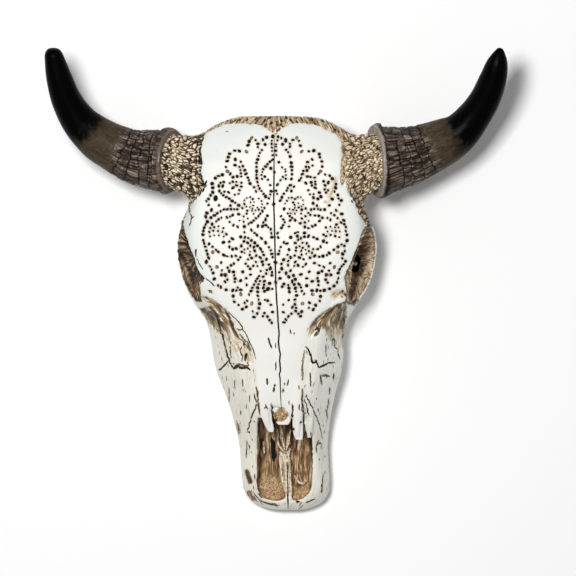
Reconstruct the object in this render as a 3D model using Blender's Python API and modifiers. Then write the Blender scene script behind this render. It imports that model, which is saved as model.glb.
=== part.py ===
"""Carved cow skull with two horn sheaths, lying on its flat back.

Metres, +Z up out of the front of the skull, +Y toward the poll, +X to the viewer's right.
The skull is one casting with its two horn cores. Each horn is a sheath of its own that is pushed
over a round spigot at the end of its core.
"""

import math

import bmesh
import bpy
import numpy as np
from mathutils import Matrix, Vector

MM = 0.001

# Driving dimensions of the skull
FIT_GAP = 0.3 * MM
VOXEL = 3.0 * MM
FINE_VOXEL = 2.4 * MM
FOOT_SINK = 9.0 * MM
STATION_STEP = 3.0 * MM
SKULL_TRIANGLES = 7000

# The muzzle bends toward +X below this height on the face, by this much at its end
DRIFT_START = -20.0 * MM
DRIFT_LENGTH = 229.0 * MM
DRIFT_AT_NOSE = 13.0 * MM
DRIFT_POWER = 1.3

# The back of the poll leans in under the front
POLL_LEAN = 28.0 * MM
POLL_LEAN_START = 125.0 * MM
POLL_LEAN_CURVE = 1.8
POLL_END = 180.0 * MM

# Cross sections of the face, in millimetres from the poll to the muzzle: place along the face,
# half width, half width of the flat front, front height, shoulder height, edge height, half foot
FACE_STATIONS = (
    (180, 36, 24, 78, 76, 66, 24),
    (177, 52, 37, 88, 84, 70, 40),
    (171, 66, 50, 96, 91, 70, 52),
    (162, 80, 62, 103, 97, 68, 60),
    (145, 87, 70, 110, 103, 66, 64),
    (120, 89, 73, 116, 108, 66, 64),
    (95, 92, 75, 120, 111, 66, 62),
    (80, 96, 77, 121, 112, 68, 60),
    (62, 104, 78, 122, 112, 66, 58),
    (40, 106, 77, 122, 110, 60, 58),
    (20, 104, 74, 121, 108, 56, 58),
    (0, 99, 70, 119, 106, 52, 60),
    (-15, 92, 65, 117, 103, 48, 62),
    (-30, 83, 55, 115, 101, 44, 64),
    (-45, 75, 45, 112, 99, 42, 64),
    (-60, 72.5, 35.5, 109, 98, 42, 64),
    (-80, 71, 29, 106, 97, 44, 64),
    (-100, 67.5, 26, 102, 95, 42, 61),
    (-120, 61, 24.5, 98, 89, 38, 55),
    (-140, 55.5, 25, 91, 81, 33, 50),
    (-152, 53, 26, 83, 72, 28, 47),
    (-166, 50.5, 29, 70, 61, 25, 45),
    (-185, 48.5, 32, 56, 50, 22, 43),
    (-210, 49, 34, 47, 42, 19, 43),
    (-228, 48.5, 33, 41, 37, 16, 42),
    (-240, 42, 28, 34, 30, 13, 36),
    (-247, 32, 20, 27, 24, 10, 26),
    (-251, 20, 12, 20, 17, 8, 15),
)
# How far out the shoulder lies between the flat front and the edge, on the forehead and the nose
SHOULDER_OUT_FOREHEAD = 0.62
SHOULDER_OUT_NOSE = 0.42

# Eye sockets: centre of the opening, its lean out from the front, its turn in plan so that the
# lower end lies nearer the midline, and the half sizes of the hollow
ORBIT_CENTRE = Vector((90.5, 17.0, 85.0)) * MM
ORBIT_LEAN = math.radians(58.0)
ORBIT_TURN = math.radians(13.0)
ORBIT_HALF_LENGTH = 38.0 * MM
ORBIT_HALF_WIDTH = 27.0 * MM
ORBIT_DEPTH = 28.0 * MM
RIM_RADIUS = 4.8 * MM
RIM_OUTSET = 0.6
RIM_SEGMENTS = 40
RIM_BEVEL_RESOLUTION = 3

# Cheek ridge that runs from under the eye down to the side of the muzzle: place and radius in mm
CHEEK_RIDGE = (
    (98, 8, 52, 6.5),
    (87, -18, 47, 7.0),
    (72, -40, 45, 7.0),
    (67, -66, 45, 6.0),
    (62, -95, 44, 5.5),
    (54, -125, 38, 4.0),
)

# Nasal bones: three boards that overhang the nasal opening, centre line and half width in mm
NASAL_PRONGS = (
    ((-12.5, -112, 96, 7.5), (-12.2, -137, 91, 6.8), (-9.6, -152, 86, 5.4), (-7.2, -163, 82, 2.6)),
    ((9.5, -112, 96, 6.5), (10.4, -136, 90, 6.2), (10.8, -148, 86, 4.4)),
    ((21.5, -112, 96, 7.5), (23.0, -137, 91, 6.6), (23.2, -160, 84, 5.8), (22.8, -171, 80, 4.2)),
)
PRONG_THICKNESS = 7.0 * MM
PRONG_SIDES = 16
PRONG_SQUARENESS = 0.6

# Nasal opening: outline of the hollow and height of its floor, and the bar that parts it below
NASAL_OUTLINE = (
    (-17.5, -146), (-18.0, -170), (-18.5, -200), (-18.5, -226), (-10.0, -237), (6.0, -239),
    (14.0, -240), (24.0, -238), (34.0, -232), (38.0, -215), (38.0, -190), (36.0, -165), (32.0, -146),
    (26.0, -139), (8.0, -137), (-10.0, -139),
)
NASAL_FLOOR = 20.0 * MM
ABOVE_ALL = 140.0 * MM
NASAL_BAR = ((7.5, -180, 25), (9.0, -195, 30), (11.0, -215, 31), (12.5, -243, 27))
NASAL_BAR_RADIUS = 4.6 * MM

# Horn cores: collar centre and outward axis of each side, radius at the collar, and how the core
# swells inside the skull, as place and added radius in mm
COLLAR_LEFT = Vector((-120.1, 128.8, 72.0)) * MM
COLLAR_RIGHT = Vector((111.8, 128.6, 72.0)) * MM
AXIS_LEFT = Vector((-0.95, 0.09, -0.24)).normalized()
AXIS_RIGHT = Vector((0.95, 0.10, -0.26)).normalized()
CORE_RADIUS_LEFT = 32.0 * MM
CORE_RADIUS_RIGHT = 33.5 * MM
CORE_OVERRUN = 14.0 * MM
CORE_SWELL = ((52.0, 116.0, 75.0, 9.0), (74.0, 121.0, 74.5, 8.0), (92.0, 124.5, 74.5, 3.4))
SPIGOT_LENGTH = 28.0 * MM
SPIGOT_BASE_RADIUS = 24.0 * MM
SPIGOT_TIP_RADIUS = 20.0 * MM
SPIGOT_SIDES = 24
SPIGOT_ROOT = 6.0 * MM

# Horn routes from the collar out, in mm: place and radius
HORN_LEFT = (
    (-153.7, 133.9, 65.0, 30.5),
    (-175.7, 143.4, 65.0, 26.2),
    (-193.4, 153.9, 68.0, 24.0),
    (-211.4, 170.6, 74.0, 20.2),
    (-225.6, 193.0, 82.0, 16.6),
    (-235.0, 218.2, 91.0, 13.2),
    (-240.6, 239.8, 99.0, 9.4),
    (-241.4, 247.0, 101.5, 6.2),
    (-241.6, 249.0, 102.0, 3.0),
)
HORN_RIGHT = (
    (144.3, 134.7, 65.0, 33.2),
    (165.6, 142.5, 64.0, 28.9),
    (185.9, 151.5, 66.0, 25.3),
    (200.0, 160.8, 69.0, 21.8),
    (213.6, 176.5, 75.0, 18.9),
    (225.3, 194.9, 83.0, 17.0),
    (233.6, 215.8, 92.0, 15.2),
    (238.2, 234.0, 100.0, 11.6),
    (240.6, 246.0, 105.0, 5.2),
    (241.4, 249.6, 106.5, 1.6),
)
HORN_BASE_LEFT = 34.4 * MM
HORN_BASE_RIGHT = 38.6 * MM
HORN_STRAIGHT = 9.0 * MM
HORN_STEPS = 36
HORN_STEP_GROWTH = 1.15
HORN_BEVEL_RESOLUTION = 7
COLLAR_LIP = 13.0 * MM
COLLAR_HEIGHT = 2.6 * MM
COLLAR_ROUNDING = 1.8 * MM
RING_COUNT = 5
RING_REACH = 62.0 * MM
RING_HEIGHT = 0.9 * MM
SPLINE_STEPS = 24

# Blocks that trim the back and the ends of the cores
BACK_BLOCK = (100.0 * MM, 1200.0 * MM)
CORE_BLOCK = (60.0 * MM, 160.0 * MM)

BONE_COLOUR = (0.83, 0.85, 0.82, 1.0)
HORN_COLOUR = (0.055, 0.045, 0.035, 1.0)


def clear_scene():
    """Remove what the scene holds, so that the model starts alone."""
    for item in list(bpy.data.objects):
        bpy.data.objects.remove(item, do_unlink=True)


def new_collection(name):
    """Make a collection under the scene's own."""
    collection = bpy.data.collections.new(name)
    bpy.context.scene.collection.children.link(collection)
    return collection


def new_material(name, colour, roughness):
    """Make a plain Principled material."""
    material = bpy.data.materials.new(name)
    material.use_nodes = True
    shader = material.node_tree.nodes["Principled BSDF"]
    shader.inputs["Base Color"].default_value = colour
    shader.inputs["Roughness"].default_value = roughness
    shader.inputs["Metallic"].default_value = 0.0
    return material


def new_object(name, mesh, collection):
    """Link a mesh as an object."""
    item = bpy.data.objects.new(name, mesh)
    collection.objects.link(item)
    return item


def smooth_through(places, values, place):
    """Read a smooth curve through hand-set values, with no overshoot between them."""
    places = np.asarray(places, dtype=float)
    values = np.asarray(values, dtype=float)
    widths = np.diff(places)
    slopes = np.diff(values, axis=0) / widths[:, None]
    tangents = np.zeros_like(values)
    tangents[0] = slopes[0]
    tangents[-1] = slopes[-1]
    for row in range(1, len(places) - 1):
        before, after = slopes[row - 1], slopes[row]
        same_way = before * after > 0
        total = np.where(same_way, before + after, 1.0)
        tangents[row] = np.where(same_way, 2 * before * after / total, 0.0)
    row = int(np.clip(np.searchsorted(places, place) - 1, 0, len(places) - 2))
    share = (place - places[row]) / widths[row]
    square, cube = share ** 2, share ** 3
    return ((2 * cube - 3 * square + 1) * values[row]
            + (cube - 2 * square + share) * widths[row] * tangents[row]
            + (3 * square - 2 * cube) * values[row + 1]
            + (cube - square) * widths[row] * tangents[row + 1])


def smooth_step(start, end, value):
    """Rise from 0 at start to 1 at end."""
    share = min(max((value - start) / (end - start), 0.0), 1.0)
    return share * share * (3 - 2 * share)


def centre_drift(along):
    """Give the sideways place of the skull's midline."""
    if along >= DRIFT_START:
        return 0.0
    return DRIFT_AT_NOSE * ((DRIFT_START - along) / DRIFT_LENGTH) ** DRIFT_POWER


def spline_points(corners, steps):
    """Round a chain of corners with a Catmull-Rom curve."""
    corners = [np.asarray(corner, dtype=float) for corner in corners]
    padded = [2 * corners[0] - corners[1], *corners, 2 * corners[-1] - corners[-2]]
    points = []
    for index in range(1, len(padded) - 2):
        before, start, end, after = padded[index - 1:index + 3]
        for step in range(steps):
            share = step / steps
            points.append(0.5 * (2 * start + (end - before) * share
                                 + (2 * before - 5 * start + 4 * end - after) * share ** 2
                                 + (3 * start - before - 3 * end + after) * share ** 3))
    points.append(corners[-1])
    return points


def face_section(along):
    """Give one closed cross section of the face, as points from the midline right round."""
    order = FACE_STATIONS[::-1]
    places = [row[0] * MM for row in order]
    values = [[number * MM for number in row[1:]] for row in order]
    half, flat, front, shoulder, edge, foot = smooth_through(places, values, along)
    nose = smooth_step(-20 * MM, -80 * MM, along)
    outward = SHOULDER_OUT_FOREHEAD + (SHOULDER_OUT_NOSE - SHOULDER_OUT_FOREHEAD) * nose
    corners = (
        (0.0, front),
        (flat * 0.55, front - 0.6 * MM),
        (flat, front - 2.2 * MM),
        (flat + outward * (half - flat), shoulder - 3.0 * MM * nose),
        (half, edge),
        (foot + 0.35 * (half - foot), edge * 0.52),
        (foot, 0.0),
    )
    side = spline_points(corners, 6)
    side.append(np.array((foot, -FOOT_SINK)))
    side.append(np.array((foot * 0.5, -FOOT_SINK)))
    lean = POLL_LEAN * smooth_step(POLL_LEAN_START, POLL_END, along)
    middle = centre_drift(along)
    ring = [*side, *[np.array((-x, z)) for x, z in reversed(side[1:])]]
    return [Vector((middle + x, along - lean * (1 - max(z, 0.0) / front) ** POLL_LEAN_CURVE, z))
            for x, z in ring]


def loft(name, sections, collection):
    """Skin a chain of like sections and close both ends."""
    build = bmesh.new()
    rings = [[build.verts.new(point) for point in section] for section in sections]
    count = len(rings[0])
    for near, far in zip(rings, rings[1:]):
        for index in range(count):
            after = (index + 1) % count
            build.faces.new((near[index], near[after], far[after], far[index]))
    build.faces.new(reversed(rings[0]))
    build.faces.new(rings[-1])
    bmesh.ops.recalc_face_normals(build, faces=build.faces)
    mesh = bpy.data.meshes.new(name)
    build.to_mesh(mesh)
    build.free()
    return new_object(name, mesh, collection)


def swept(name, points, radii, resolution, collection):
    """Sweep a round section of changing radius along points, as a closed mesh."""
    curve = bpy.data.curves.new(name, "CURVE")
    curve.dimensions = "3D"
    curve.bevel_depth = 1.0
    curve.bevel_resolution = resolution
    curve.use_fill_caps = True
    spline = curve.splines.new("POLY")
    spline.points.add(len(points) - 1)
    for spline_point, place, radius in zip(spline.points, points, radii):
        spline_point.co = (*place, 1.0)
        spline_point.radius = radius
    guide = new_object(name + "_route", curve, collection)
    bpy.context.view_layer.update()
    depsgraph = bpy.context.evaluated_depsgraph_get()
    mesh = bpy.data.meshes.new_from_object(guide.evaluated_get(depsgraph))
    build = bmesh.new()
    build.from_mesh(mesh)
    bmesh.ops.remove_doubles(build, verts=build.verts, dist=0.00001)
    bmesh.ops.recalc_face_normals(build, faces=build.faces)
    build.to_mesh(mesh)
    build.free()
    item = new_object(name, mesh, collection)
    item.matrix_world = guide.matrix_world
    bpy.data.objects.remove(guide, do_unlink=True)
    return item


def swept_through(name, rows, steps, resolution, collection):
    """Sweep a tube through hand-set rows of place and radius in millimetres."""
    rows = [np.array(row, dtype=float) * MM for row in rows]
    smooth = spline_points(rows, steps)
    return swept(name, [row[:3] for row in smooth], [row[3] for row in smooth], resolution,
                 collection)


def orbit_frame(side):
    """Give the place and turn of an eye socket: its local Z leaves the skull."""
    centre = Vector((side * ORBIT_CENTRE.x, ORBIT_CENTRE.y, ORBIT_CENTRE.z))
    along = Vector((side * math.sin(ORBIT_TURN), math.cos(ORBIT_TURN), 0.0))
    sideways = Vector((side * math.cos(ORBIT_TURN), -math.sin(ORBIT_TURN), 0.0))
    outward = sideways * math.sin(ORBIT_LEAN) + Vector((0.0, 0.0, math.cos(ORBIT_LEAN)))
    across = along.cross(outward)
    turn = Matrix((across, along, outward)).transposed().to_4x4()
    return Matrix.Translation(centre) @ turn


def orbit_rim(side, collection):
    """Make the raised ring of bone round an eye socket."""
    frame = orbit_frame(side)
    points = []
    for index in range(RIM_SEGMENTS + 1):
        angle = 2 * math.pi * index / RIM_SEGMENTS
        across = (ORBIT_HALF_WIDTH + RIM_RADIUS * RIM_OUTSET) * math.cos(angle)
        along = (ORBIT_HALF_LENGTH + RIM_RADIUS * RIM_OUTSET) * math.sin(angle)
        points.append(frame @ Vector((across, along, -RIM_RADIUS * 0.5)))
    return swept("orbit_rim", points, [RIM_RADIUS] * len(points), RIM_BEVEL_RESOLUTION,
                 collection)


def orbit_cutter(side, collection):
    """Make the hollow of an eye socket."""
    bpy.ops.mesh.primitive_uv_sphere_add(segments=36, ring_count=20, radius=1.0)
    cutter = bpy.context.object
    cutter.name = "orbit_hollow"
    shape = Matrix.Diagonal((ORBIT_HALF_WIDTH, ORBIT_HALF_LENGTH, ORBIT_DEPTH, 1.0))
    cutter.data.transform(orbit_frame(side) @ shape)
    move_to(cutter, collection)
    return cutter


def move_to(item, collection):
    """Put an object in one collection alone."""
    for old in list(item.users_collection):
        old.objects.unlink(item)
    collection.objects.link(item)


def cheek_ridge(side, collection):
    """Make the ridge of the cheek, which follows the bend of the muzzle."""
    rows = []
    for x, y, z, radius in CHEEK_RIDGE:
        drift = centre_drift(y * MM) / MM
        rows.append((drift + side * x, y, z, radius))
    return swept_through("cheek_ridge", rows, 5, 3, collection)


def horn_core(side, centre, axis, radius, collection):
    """Make a horn core from inside the skull to just past its collar plane."""
    start = centre - axis * CORE_OVERRUN
    end = centre + axis * CORE_OVERRUN
    rows = (
        *[(side * x, y, z, radius / MM + added) for x, y, z, added in CORE_SWELL],
        (*(start / MM), radius / MM),
        (*(centre / MM), radius / MM),
        (*(end / MM), radius / MM),
    )
    return swept_through("horn_core", rows, 5, 7, collection)


def squarer(value):
    """Swell a sine or cosine, so that a circle of them becomes a rounded square."""
    return math.copysign(abs(value) ** PRONG_SQUARENESS, value)


def nasal_prong(rows, collection):
    """Make one board of the nasal bones, a flat rounded bar."""
    rows = spline_points([np.array(row) * MM for row in rows], 6)
    sections = []
    for x, y, z, half in rows:
        section = []
        for step in range(PRONG_SIDES):
            angle = 2 * math.pi * step / PRONG_SIDES
            across = squarer(math.cos(angle)) * half
            height = squarer(math.sin(angle)) * PRONG_THICKNESS / 2
            section.append(Vector((x + across, y, z + height)))
        sections.append(section)
    return loft("nasal_prong", sections, collection)


def nasal_cutter(collection):
    """Make the hollow of the nasal opening from its outline, up through the front."""
    outline = spline_points([*NASAL_OUTLINE, NASAL_OUTLINE[0]], 3)[:-1]
    sections = [[Vector((x * MM, y * MM, height)) for x, y in outline]
                for height in (NASAL_FLOOR, ABOVE_ALL)]
    return loft("nasal_hollow", sections, collection)


def join(items, name, collection):
    """Put several closed meshes in one object."""
    build = bmesh.new()
    for item in items:
        mesh = item.data
        mesh.transform(item.matrix_world)
        build.from_mesh(mesh)
        bpy.data.objects.remove(item, do_unlink=True)
    mesh = bpy.data.meshes.new(name)
    build.to_mesh(mesh)
    build.free()
    return new_object(name, mesh, collection)


def slab(name, centre, axis, size, collection):
    """Make a block whose near face lies at centre and which reaches along axis."""
    thickness, width = size
    bpy.ops.mesh.primitive_cube_add(size=1.0)
    block = bpy.context.object
    block.name = name
    turn = axis.to_track_quat("Z", "Y").to_matrix().to_4x4()
    shape = Matrix.Diagonal((width, width, thickness, 1.0))
    block.data.transform(Matrix.Translation(centre + axis * thickness / 2) @ turn @ shape)
    move_to(block, collection)
    return block


def spigot(name, centre, axis, grow, collection):
    """Make the tapered spigot of a core, or the room for it when it is grown by the gap."""
    bpy.ops.mesh.primitive_cone_add(
        vertices=SPIGOT_SIDES, radius1=SPIGOT_BASE_RADIUS + grow, radius2=SPIGOT_TIP_RADIUS + grow,
        depth=SPIGOT_LENGTH + SPIGOT_ROOT + grow)
    cone = bpy.context.object
    cone.name = name
    turn = axis.to_track_quat("Z", "Y").to_matrix().to_4x4()
    middle = centre + axis * ((SPIGOT_LENGTH + grow - SPIGOT_ROOT) / 2)
    cone.data.transform(Matrix.Translation(middle) @ turn)
    move_to(cone, collection)
    return cone


def hide_guide(item):
    """Mark a cutter as a guide."""
    item.hide_render = True
    item.display_type = "WIRE"
    return item


def add_boolean(item, operation, other):
    """Cut or join another object with an exact Boolean."""
    modifier = item.modifiers.new(other.name, "BOOLEAN")
    modifier.operation = operation
    modifier.solver = "EXACT"
    modifier.object = hide_guide(other)


def apply_modifiers(item):
    """Replace an object's mesh by what its modifiers make of it."""
    bpy.context.view_layer.update()
    depsgraph = bpy.context.evaluated_depsgraph_get()
    mesh = bpy.data.meshes.new_from_object(item.evaluated_get(depsgraph))
    item.modifiers.clear()
    item.data = mesh


def shade(item, material):
    """Give an object its material and smooth shading with sharp edges kept."""
    mesh = item.data
    mesh.materials.clear()
    mesh.materials.append(material)
    mesh.shade_smooth()
    mesh.set_sharp_from_angle(angle=math.radians(40.0))


def make_skull(parts, cutters, material):
    """Make the skull: the face, its cores, rims and ridges, and then its hollows."""
    first, last = FACE_STATIONS[-1][0] * MM, FACE_STATIONS[0][0] * MM
    count = int(round((last - first) / STATION_STEP))
    places = [first + (last - first) * index / count for index in range(count + 1)]
    pieces = [loft("face", [face_section(place) for place in places], parts)]
    for side in (-1, 1):
        pieces.append(orbit_rim(side, parts))
        pieces.append(cheek_ridge(side, parts))
    pieces.append(horn_core(-1, COLLAR_LEFT, AXIS_LEFT, CORE_RADIUS_LEFT, parts))
    pieces.append(horn_core(1, COLLAR_RIGHT, AXIS_RIGHT, CORE_RADIUS_RIGHT, parts))
    skull = join(pieces, "skull", parts)

    remesh = skull.modifiers.new("Join", "REMESH")
    remesh.mode = "VOXEL"
    remesh.voxel_size = VOXEL
    soften = skull.modifiers.new("Soften", "SMOOTH")
    soften.factor = 0.5
    soften.iterations = 4
    for side in (-1, 1):
        add_boolean(skull, "DIFFERENCE", orbit_cutter(side, cutters))
    add_boolean(skull, "DIFFERENCE", nasal_cutter(cutters))
    apply_modifiers(skull)

    for rows in NASAL_PRONGS:
        add_boolean(skull, "UNION", nasal_prong(rows, cutters))
    bar = swept_through("nasal_bar", [(*row, NASAL_BAR_RADIUS / MM) for row in NASAL_BAR], 4, 2,
                        cutters)
    add_boolean(skull, "UNION", bar)
    merge = skull.modifiers.new("Merge", "REMESH")
    merge.mode = "VOXEL"
    merge.voxel_size = FINE_VOXEL
    even = skull.modifiers.new("Even", "SMOOTH")
    even.factor = 0.5
    even.iterations = 5
    apply_modifiers(skull)

    thin = skull.modifiers.new("Thin", "DECIMATE")
    triangles = sum(len(face.vertices) - 2 for face in skull.data.polygons)
    thin.ratio = SKULL_TRIANGLES / triangles
    apply_modifiers(skull)

    down = Vector((0.0, 0.0, -1.0))
    add_boolean(skull, "DIFFERENCE", slab("back_plane", Vector(), down, BACK_BLOCK, cutters))
    ends = ((COLLAR_LEFT, AXIS_LEFT, "left"), (COLLAR_RIGHT, AXIS_RIGHT, "right"))
    for centre, axis, side_name in ends:
        block = slab(side_name + "_core_end", centre - axis * FIT_GAP, axis, CORE_BLOCK, cutters)
        add_boolean(skull, "DIFFERENCE", block)
    for centre, axis, side_name in ends:
        pin = spigot(side_name + "_spigot", centre, axis, 0.0, cutters)
        add_boolean(skull, "UNION", pin)
    apply_modifiers(skull)
    shade(skull, material)
    return skull


def horn_radius(base, distance):
    """Add the raised collar and the growth rings to a horn's plain radius."""
    lip = 1 - smooth_step(COLLAR_LIP * 0.7, COLLAR_LIP * 1.25, distance)
    rounding = 1 - smooth_step(0.0, COLLAR_LIP * 0.35, distance)
    fade = smooth_step(COLLAR_LIP, COLLAR_LIP * 1.6, distance)
    fade *= 1 - smooth_step(RING_REACH * 0.7, RING_REACH * 1.2, distance)
    wave = math.sin(2 * math.pi * RING_COUNT * distance / RING_REACH)
    return base + lip * COLLAR_HEIGHT - rounding * COLLAR_ROUNDING + wave * fade * RING_HEIGHT


def make_horn(name, centre, axis, base_radius, rows, parts, cutters, material):
    """Make one horn sheath with its collar, rings and the room for the core's spigot."""
    centre_row = (*(centre / MM), base_radius / MM)
    lead_row = (*((centre + axis * HORN_STRAIGHT) / MM), base_radius / MM)
    corners = [np.array(row, dtype=float) * MM for row in (centre_row, lead_row, *rows)]
    fine = spline_points(corners, SPLINE_STEPS)
    lengths = [0.0]
    for before, after in zip(fine, fine[1:]):
        lengths.append(lengths[-1] + float(np.linalg.norm(after[:3] - before[:3])))
    total = lengths[-1]
    points, radii = [], []
    for step in range(HORN_STEPS + 1):
        distance = total * (step / HORN_STEPS) ** HORN_STEP_GROWTH
        row = [float(np.interp(distance, lengths, [item[axis_index] for item in fine]))
               for axis_index in range(4)]
        points.append(Vector(row[:3]))
        radii.append(horn_radius(row[3], distance))
    points[1] = points[0] + axis * (points[1] - points[0]).length
    horn = swept(name, points, radii, HORN_BEVEL_RESOLUTION, parts)
    room = spigot(name + "_socket", centre, axis, FIT_GAP * 1.3, cutters)
    add_boolean(horn, "DIFFERENCE", room)
    apply_modifiers(horn)
    shade(horn, material)
    return horn


def main():
    clear_scene()
    parts = new_collection("carved_cow_skull")
    cutters = new_collection("cutters")
    bone = new_material("painted_bone", BONE_COLOUR, 0.55)
    horn = new_material("dark_horn", HORN_COLOUR, 0.4)
    make_skull(parts, cutters, bone)
    make_horn("left_horn", COLLAR_LEFT, AXIS_LEFT, HORN_BASE_LEFT, HORN_LEFT, parts, cutters, horn)
    make_horn("right_horn", COLLAR_RIGHT, AXIS_RIGHT, HORN_BASE_RIGHT, HORN_RIGHT, parts, cutters, horn)


main()
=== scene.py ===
"""Carved cow skull on its flat back, seen from the front.

The painted bone with its tooling, cracks and carved lace, and the two dark horns. Outlines and dots
are set on the carver's drawing, whose units on_drawing turns into millimetres. Where a name or a
comment says millimetres, the places are the skull's own.
"""

import math
import random

import bmesh
import bpy
import numpy as np
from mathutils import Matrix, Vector
from mathutils.bvhtree import BVHTree
from mathutils.kdtree import KDTree


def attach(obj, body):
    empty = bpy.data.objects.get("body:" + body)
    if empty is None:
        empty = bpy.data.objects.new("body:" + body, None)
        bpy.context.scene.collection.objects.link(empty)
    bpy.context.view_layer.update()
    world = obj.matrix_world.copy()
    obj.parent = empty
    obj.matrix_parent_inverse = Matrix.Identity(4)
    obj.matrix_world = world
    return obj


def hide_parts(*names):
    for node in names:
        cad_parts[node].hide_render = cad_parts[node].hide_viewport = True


bl_info = {
    "name": "Carved cow skull",
    "version": (1, 0, 0),
    "blender": (4, 5, 0),
    "location": "View3D > Sidebar > Skull",
    "description": "Builds a carved and painted cow skull with its horns round a packed frame",
    "category": "Add Mesh",
}

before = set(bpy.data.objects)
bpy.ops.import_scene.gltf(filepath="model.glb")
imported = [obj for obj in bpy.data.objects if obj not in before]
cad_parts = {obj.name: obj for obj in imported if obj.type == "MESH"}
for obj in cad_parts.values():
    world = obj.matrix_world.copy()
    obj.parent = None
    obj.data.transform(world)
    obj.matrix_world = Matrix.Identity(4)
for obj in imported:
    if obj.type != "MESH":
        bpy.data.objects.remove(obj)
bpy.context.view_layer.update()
MM = 0.001

# The carver's drawing: the size of its unit, and the place of the skull's centre on it
DRAWING_UNIT = 1.0823
DRAWING_CENTRE = (276.0, 280.0)

# Midline of the face on the drawing, from the poll to the muzzle
MIDLINE = ((275.5, 100), (275.5, 114), (274.4, 137), (274, 200), (275.6, 262), (278, 322), (281, 404),
           (287, 475), (288.4, 510), (288.6, 530))

# Tooled band of the poll and the horn cores, left and right of the notch over the midline
TOOLED_LEFT = (
    (276, 137), (274.4, 134), (271.2, 131.7), (266.5, 128.9), (262.5, 125.9), (257, 124.9),
    (249, 124.1), (241, 123.7), (233, 124.1), (225, 124.5), (222, 126), (210, 131), (205, 135),
    (204, 138), (201.5, 150), (203, 165), (201, 175), (205, 184), (208, 186), (196, 198), (189, 206),
    (186, 213), (183, 226), (100, 226), (100, 60), (276, 60),
)
TOOLED_RIGHT = (
    (275, 137), (277.6, 132.9), (280.8, 129.7), (285.6, 126.5), (291.2, 124.1), (296.7, 123.5),
    (304.7, 123.7), (312.7, 124.5), (320.7, 127.3), (328.6, 131.3), (335.8, 134.5), (339, 138.5),
    (341, 143.3), (341.4, 149.6), (341.8, 156), (341, 160.8), (340.6, 168.8), (339.8, 176.7),
    (340, 182), (341.5, 186), (344, 184), (346, 179), (346, 188), (350, 197), (355, 203), (358, 213),
    (364, 222), (368, 226), (460, 226), (460, 60), (275, 60),
)

# Eye sockets, with their outer sides run past the edge of the skull
SOCKET_LEFT = (
    (176, 224), (184, 226), (186, 237), (190, 250), (194, 260), (197, 268), (201, 274), (205, 278),
    (204, 282), (200, 284), (200.5, 294), (200, 303), (193, 303), (187, 298), (181, 289),
    (172, 280), (160, 262), (160, 230),
)
SOCKET_RIGHT = (
    (371, 225), (365, 227.5), (361, 234), (358, 244), (355, 252), (352, 260), (348, 268), (345, 275),
    (344, 277), (345, 283), (346.6, 291), (346, 297), (345.6, 302), (349, 305.6), (354, 305.6),
    (357, 303), (360, 298), (363, 290),
    (367, 283), (371, 272), (373.8, 262), (375, 250), (374.4, 238), (372.4, 229),
)

# Brown hollows under the sockets
HOLLOWS = (
    ((201, 296.5), (207, 297), (214, 300), (221, 304.5), (227, 310), (231, 316), (234, 323),
     (236.5, 331), (241, 339), (247, 347), (252.5, 355), (254, 362), (248, 364), (240, 353), (232, 346),
     (226, 340), (221, 333), (215, 333), (209, 325), (204, 317), (198, 309), (204, 308),
     (210, 306), (205, 301)),
    ((347, 301), (341, 303), (334, 305.5), (326, 310), (318, 316), (311, 323), (307, 331),
     (309, 339), (314, 333), (320, 329), (326, 331), (330, 338), (335, 346), (340, 353),
     (344.5, 344), (346, 330), (347, 316)),
)

# Strands that the tooling follows, each set from its top or right strand on
STRANDS = {
    "core_left": (
        ((158, 133), (172, 138), (186, 140), (203, 133)),
        ((158, 142), (174, 149), (188, 153), (203, 150)),
        ((158, 153), (174, 161), (188, 166), (203, 168)),
        ((158, 165), (174, 174), (186, 179), (200, 182)),
        ((158, 178), (172, 186), (182, 191), (194, 198)),
        ((160, 190), (172, 196), (180, 203), (188, 214)),
    ),
    "core_right": (
        ((340, 126), (352, 134), (364, 137), (384, 132)),
        ((341, 146), (352, 146), (366, 142), (384, 138)),
        ((341, 162), (354, 158), (368, 152), (384, 147)),
        ((342, 178), (355, 172), (368, 164), (384, 157)),
        ((346, 196), (356, 186), (368, 177), (384, 168)),
        ((354, 210), (362, 198), (372, 188), (384, 179)),
        ((364, 220), (369, 208), (376, 198), (386, 190)),
    ),
    "socket_left": (
        ((175, 237), (181, 235), (186, 239)), ((175, 246), (181, 243), (189, 246)),
        ((175, 255), (181, 250), (191, 252)), ((177, 264), (182, 256), (192, 257)),
        ((183, 286), (181, 273), (185, 263), (193, 260)),
        ((192, 301), (188, 288), (189, 275), (196, 265)),
        ((199, 303), (196, 291), (197, 280), (202, 272)),
    ),
    "socket_right": (
        ((362, 232), (368, 230), (374, 233)), ((359, 241), (366, 238), (375, 240)),
        ((357, 250), (365, 247), (375, 247)), ((357, 258), (366, 256), (375, 257)),
        ((357, 266), (366, 268), (374, 273)), ((355, 271), (362, 279), (368, 289)),
        ((350, 273), (353, 285), (357, 302)), ((345, 276), (347, 289), (350, 303)),
    ),
    "hollow_left": (
        ((204, 296), (216, 300), (229, 308.5), (240, 320), (248, 333), (254, 350), (256, 364)),
        ((203, 300), (214, 305), (224, 314), (233, 327), (242, 341), (249, 358)),
        ((201, 305), (210, 312), (217, 321), (224, 332), (230, 345), (235, 360)),
        ((198, 309), (205, 316), (210, 324), (214, 334), (218, 348), (219, 364)),
    ),
    "hollow_right": (
        ((347, 303), (347, 316), (346, 332), (344, 352)),
        ((344, 303), (342, 314), (339, 328), (338, 352)),
        ((342, 303), (335, 312), (330, 322), (328, 338), (329, 356)),
        ((340, 302), (329, 309), (318, 319), (311, 328), (307, 340), (306, 358)),
    ),
}

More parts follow.
